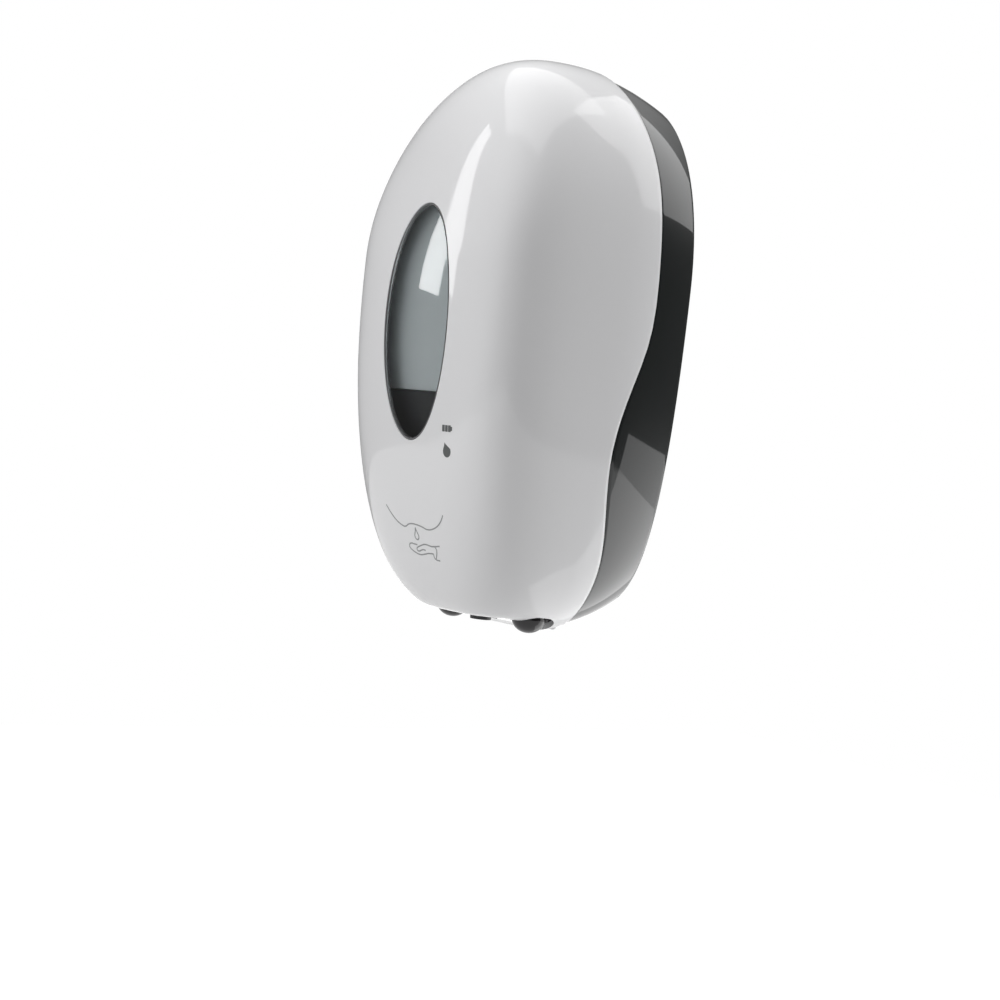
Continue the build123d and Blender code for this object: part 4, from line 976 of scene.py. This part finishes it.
back = Vector((
    math.sin(camera_azimuth) * math.cos(camera_elevation),
    -math.cos(camera_azimuth) * math.cos(camera_elevation),
    math.sin(camera_elevation),
))
level = Vector((math.cos(camera_azimuth), math.sin(camera_azimuth), 0))
upright = back.cross(level)
right = level * math.cos(camera_roll) + upright * math.sin(camera_roll)
up = upright * math.cos(camera_roll) - level * math.sin(camera_roll)
lens = bpy.data.cameras.new("camera")
lens.sensor_width = sensor_width
lens.lens = focal_pixels / picture_pixels * sensor_width
lens.clip_start = 0.05
lens.clip_end = 50
camera = bpy.data.objects.new("camera", lens)
camera.matrix_world = Matrix.Translation((camera_aim + back * camera_distance) * MM) @ Matrix(
    (right, up, back)
).transposed().to_4x4()
bpy.context.scene.collection.objects.link(camera)
bpy.context.scene.camera = camera


# Light: a pale floor, a white surround, and soft panels in front, on the left, above and behind
def link_value(tree, source, node_type, **inputs):
    """Math-like node fed by a socket, with its other inputs set by index."""
    node = tree.nodes.new(node_type)
    for key, value in inputs.items():
        if key == "operation":
            node.operation = value
        else:
            node.inputs[int(key[1:])].default_value = value
    tree.links.new(source, node.inputs[0])
    return node


def ramp(tree, source, stops):
    """Colour ramp from a socket through grey levels at given places."""
    node = tree.nodes.new("ShaderNodeValToRGB")
    tree.links.new(source, node.inputs["Fac"])
    elements = node.color_ramp.elements
    while len(elements) < len(stops):
        elements.new(0.5)
    for element, (position, grey) in zip(elements, stops):
        element.position = position
        element.color = (grey, grey, grey, 1)
    return node


floor_level = -1250.0
floor_half = 6000.0
floor_grey = 0.6
floor_glow = 0.9
floor_in_gloss = ((0.0, 1.0), (0.72, 1.0), (0.80, 0.10))
sky_in_gloss = ((0.0, 0.10), (0.35, 0.12), (0.75, 0.85))
floor = new_object(
    "floor",
    [(-floor_half, -floor_half, floor_level), (floor_half, -floor_half, floor_level),
     (floor_half, floor_half, floor_level), (-floor_half, floor_half, floor_level)],
    [(0, 1, 2, 3)],
)
floor_material = bpy.data.materials.new("floor")
floor_material.use_nodes = True
tree = floor_material.node_tree
floor_shader = tree.nodes["Principled BSDF"]
floor_shader.inputs["Base Color"].default_value = (floor_grey, floor_grey, floor_grey, 1)
floor_shader.inputs["Roughness"].default_value = 0.9
path = tree.nodes.new("ShaderNodeLightPath")
floor_place = tree.nodes.new("ShaderNodeTexCoord")
far = tree.nodes.new("ShaderNodeVectorMath")
far.operation = "LENGTH"
tree.links.new(floor_place.outputs["Object"], far.inputs[0])
distance = link_value(tree, far.outputs["Value"], "ShaderNodeMath", operation="MULTIPLY", _1=0.1)
reach = ramp(tree, distance.outputs[0], floor_in_gloss)
seen = link_value(tree, path.outputs["Is Camera Ray"], "ShaderNodeMath", operation="MAXIMUM")
tree.links.new(path.outputs["Is Transmission Ray"], seen.inputs[1])
strength = link_value(tree, seen.outputs[0], "ShaderNodeMath", operation="MULTIPLY", _1=floor_glow)
glow = tree.nodes.new("ShaderNodeEmission")
tree.links.new(strength.outputs[0], glow.inputs["Strength"])
mixed = tree.nodes.new("ShaderNodeAddShader")
tree.links.new(floor_shader.outputs["BSDF"], mixed.inputs[0])
tree.links.new(glow.outputs["Emission"], mixed.inputs[1])
mirrored = tree.nodes.new("ShaderNodeEmission")
tree.links.new(reach.outputs["Color"], mirrored.inputs["Color"])
either_floor = tree.nodes.new("ShaderNodeMixShader")
tree.links.new(path.outputs["Is Glossy Ray"], either_floor.inputs[0])
tree.links.new(mixed.outputs[0], either_floor.inputs[1])
tree.links.new(mirrored.outputs["Emission"], either_floor.inputs[2])
tree.links.new(either_floor.outputs[0], tree.nodes["Material Output"].inputs["Surface"])
dress(floor, floor_material)

world = bpy.data.worlds.new("studio")
world.use_nodes = True
bpy.context.scene.world = world
sky = world.node_tree
background = sky.nodes["Background"]
ambient_level = 0.28
rays = sky.nodes.new("ShaderNodeLightPath")
direct = link_value(sky, rays.outputs["Is Camera Ray"], "ShaderNodeMath", operation="MAXIMUM")
sky.links.new(rays.outputs["Is Transmission Ray"], direct.inputs[1])
plain = sky.nodes.new("ShaderNodeMapRange")
plain.inputs["To Min"].default_value = ambient_level
plain.inputs["To Max"].default_value = 1.0
sky.links.new(direct.outputs[0], plain.inputs["Value"])
height = sky.nodes.new("ShaderNodeTexCoord")
split = sky.nodes.new("ShaderNodeSeparateXYZ")
sky.links.new(height.outputs["Generated"], split.inputs[0])
bright_above = ramp(sky, split.outputs["Z"], sky_in_gloss)
chosen = sky.nodes.new("ShaderNodeMix")
chosen.data_type = "RGBA"
sky.links.new(rays.outputs["Is Glossy Ray"], chosen.inputs["Factor"])
sky.links.new(plain.outputs["Result"], chosen.inputs["A"])
sky.links.new(bright_above.outputs["Color"], chosen.inputs["B"])
sky.links.new(chosen.outputs["Result"], background.inputs["Color"])
background.inputs["Strength"].default_value = 1.0


def panel_light(name, place, size, power, upright=(0, 0, 1), mirrored=True):
    """Soft rectangular lamp at a place in metres that faces the object, seen in gloss or not."""
    lamp = bpy.data.lights.new(name, "AREA")
    lamp.shape = "RECTANGLE"
    lamp.size, lamp.size_y = size
    lamp.energy = power
    item = bpy.data.objects.new(name, lamp)
    away = (Vector(place) - Vector(centre)).normalized()
    across = Vector(upright).cross(away).normalized()
    axes = Matrix((across, away.cross(across), away)).transposed().to_4x4()
    item.matrix_world = Matrix.Translation(place) @ axes
    item.visible_glossy = mirrored
    bpy.context.scene.collection.objects.link(item)
    return item


centre = (0.0, -0.058, -0.03)
panel_light("front_panel", (-0.2, -2.4, 0.6), (3.0, 3.0), 34, mirrored=False)
panel_light("strip", (-0.942, -0.92, 0.487), (0.12, 0.97), 1.65, upright=(0.38, 0.11, 0.88))
panel_light("back_panel", (0.44, 1.45, 1.25), (1.2, 1.5), 9.5, upright=(-0.3, 0.0, 1.0))
panel_light("behind_panel", (0.3, 2.05, -0.4), (2.0, 2.0), 31, mirrored=False)
panel_light("low_panel", (0.24, 0.84, -0.64), (1.05, 1.1), 4.4)
panel_light("top_panel", (-0.1, -0.1, 2.0), (2.4, 2.4), 26)
panel_light("left_panel", (-1.75, 1.15, 0.0), (0.9, 1.6), 4)

bpy.context.scene.view_settings.view_transform = "Standard"
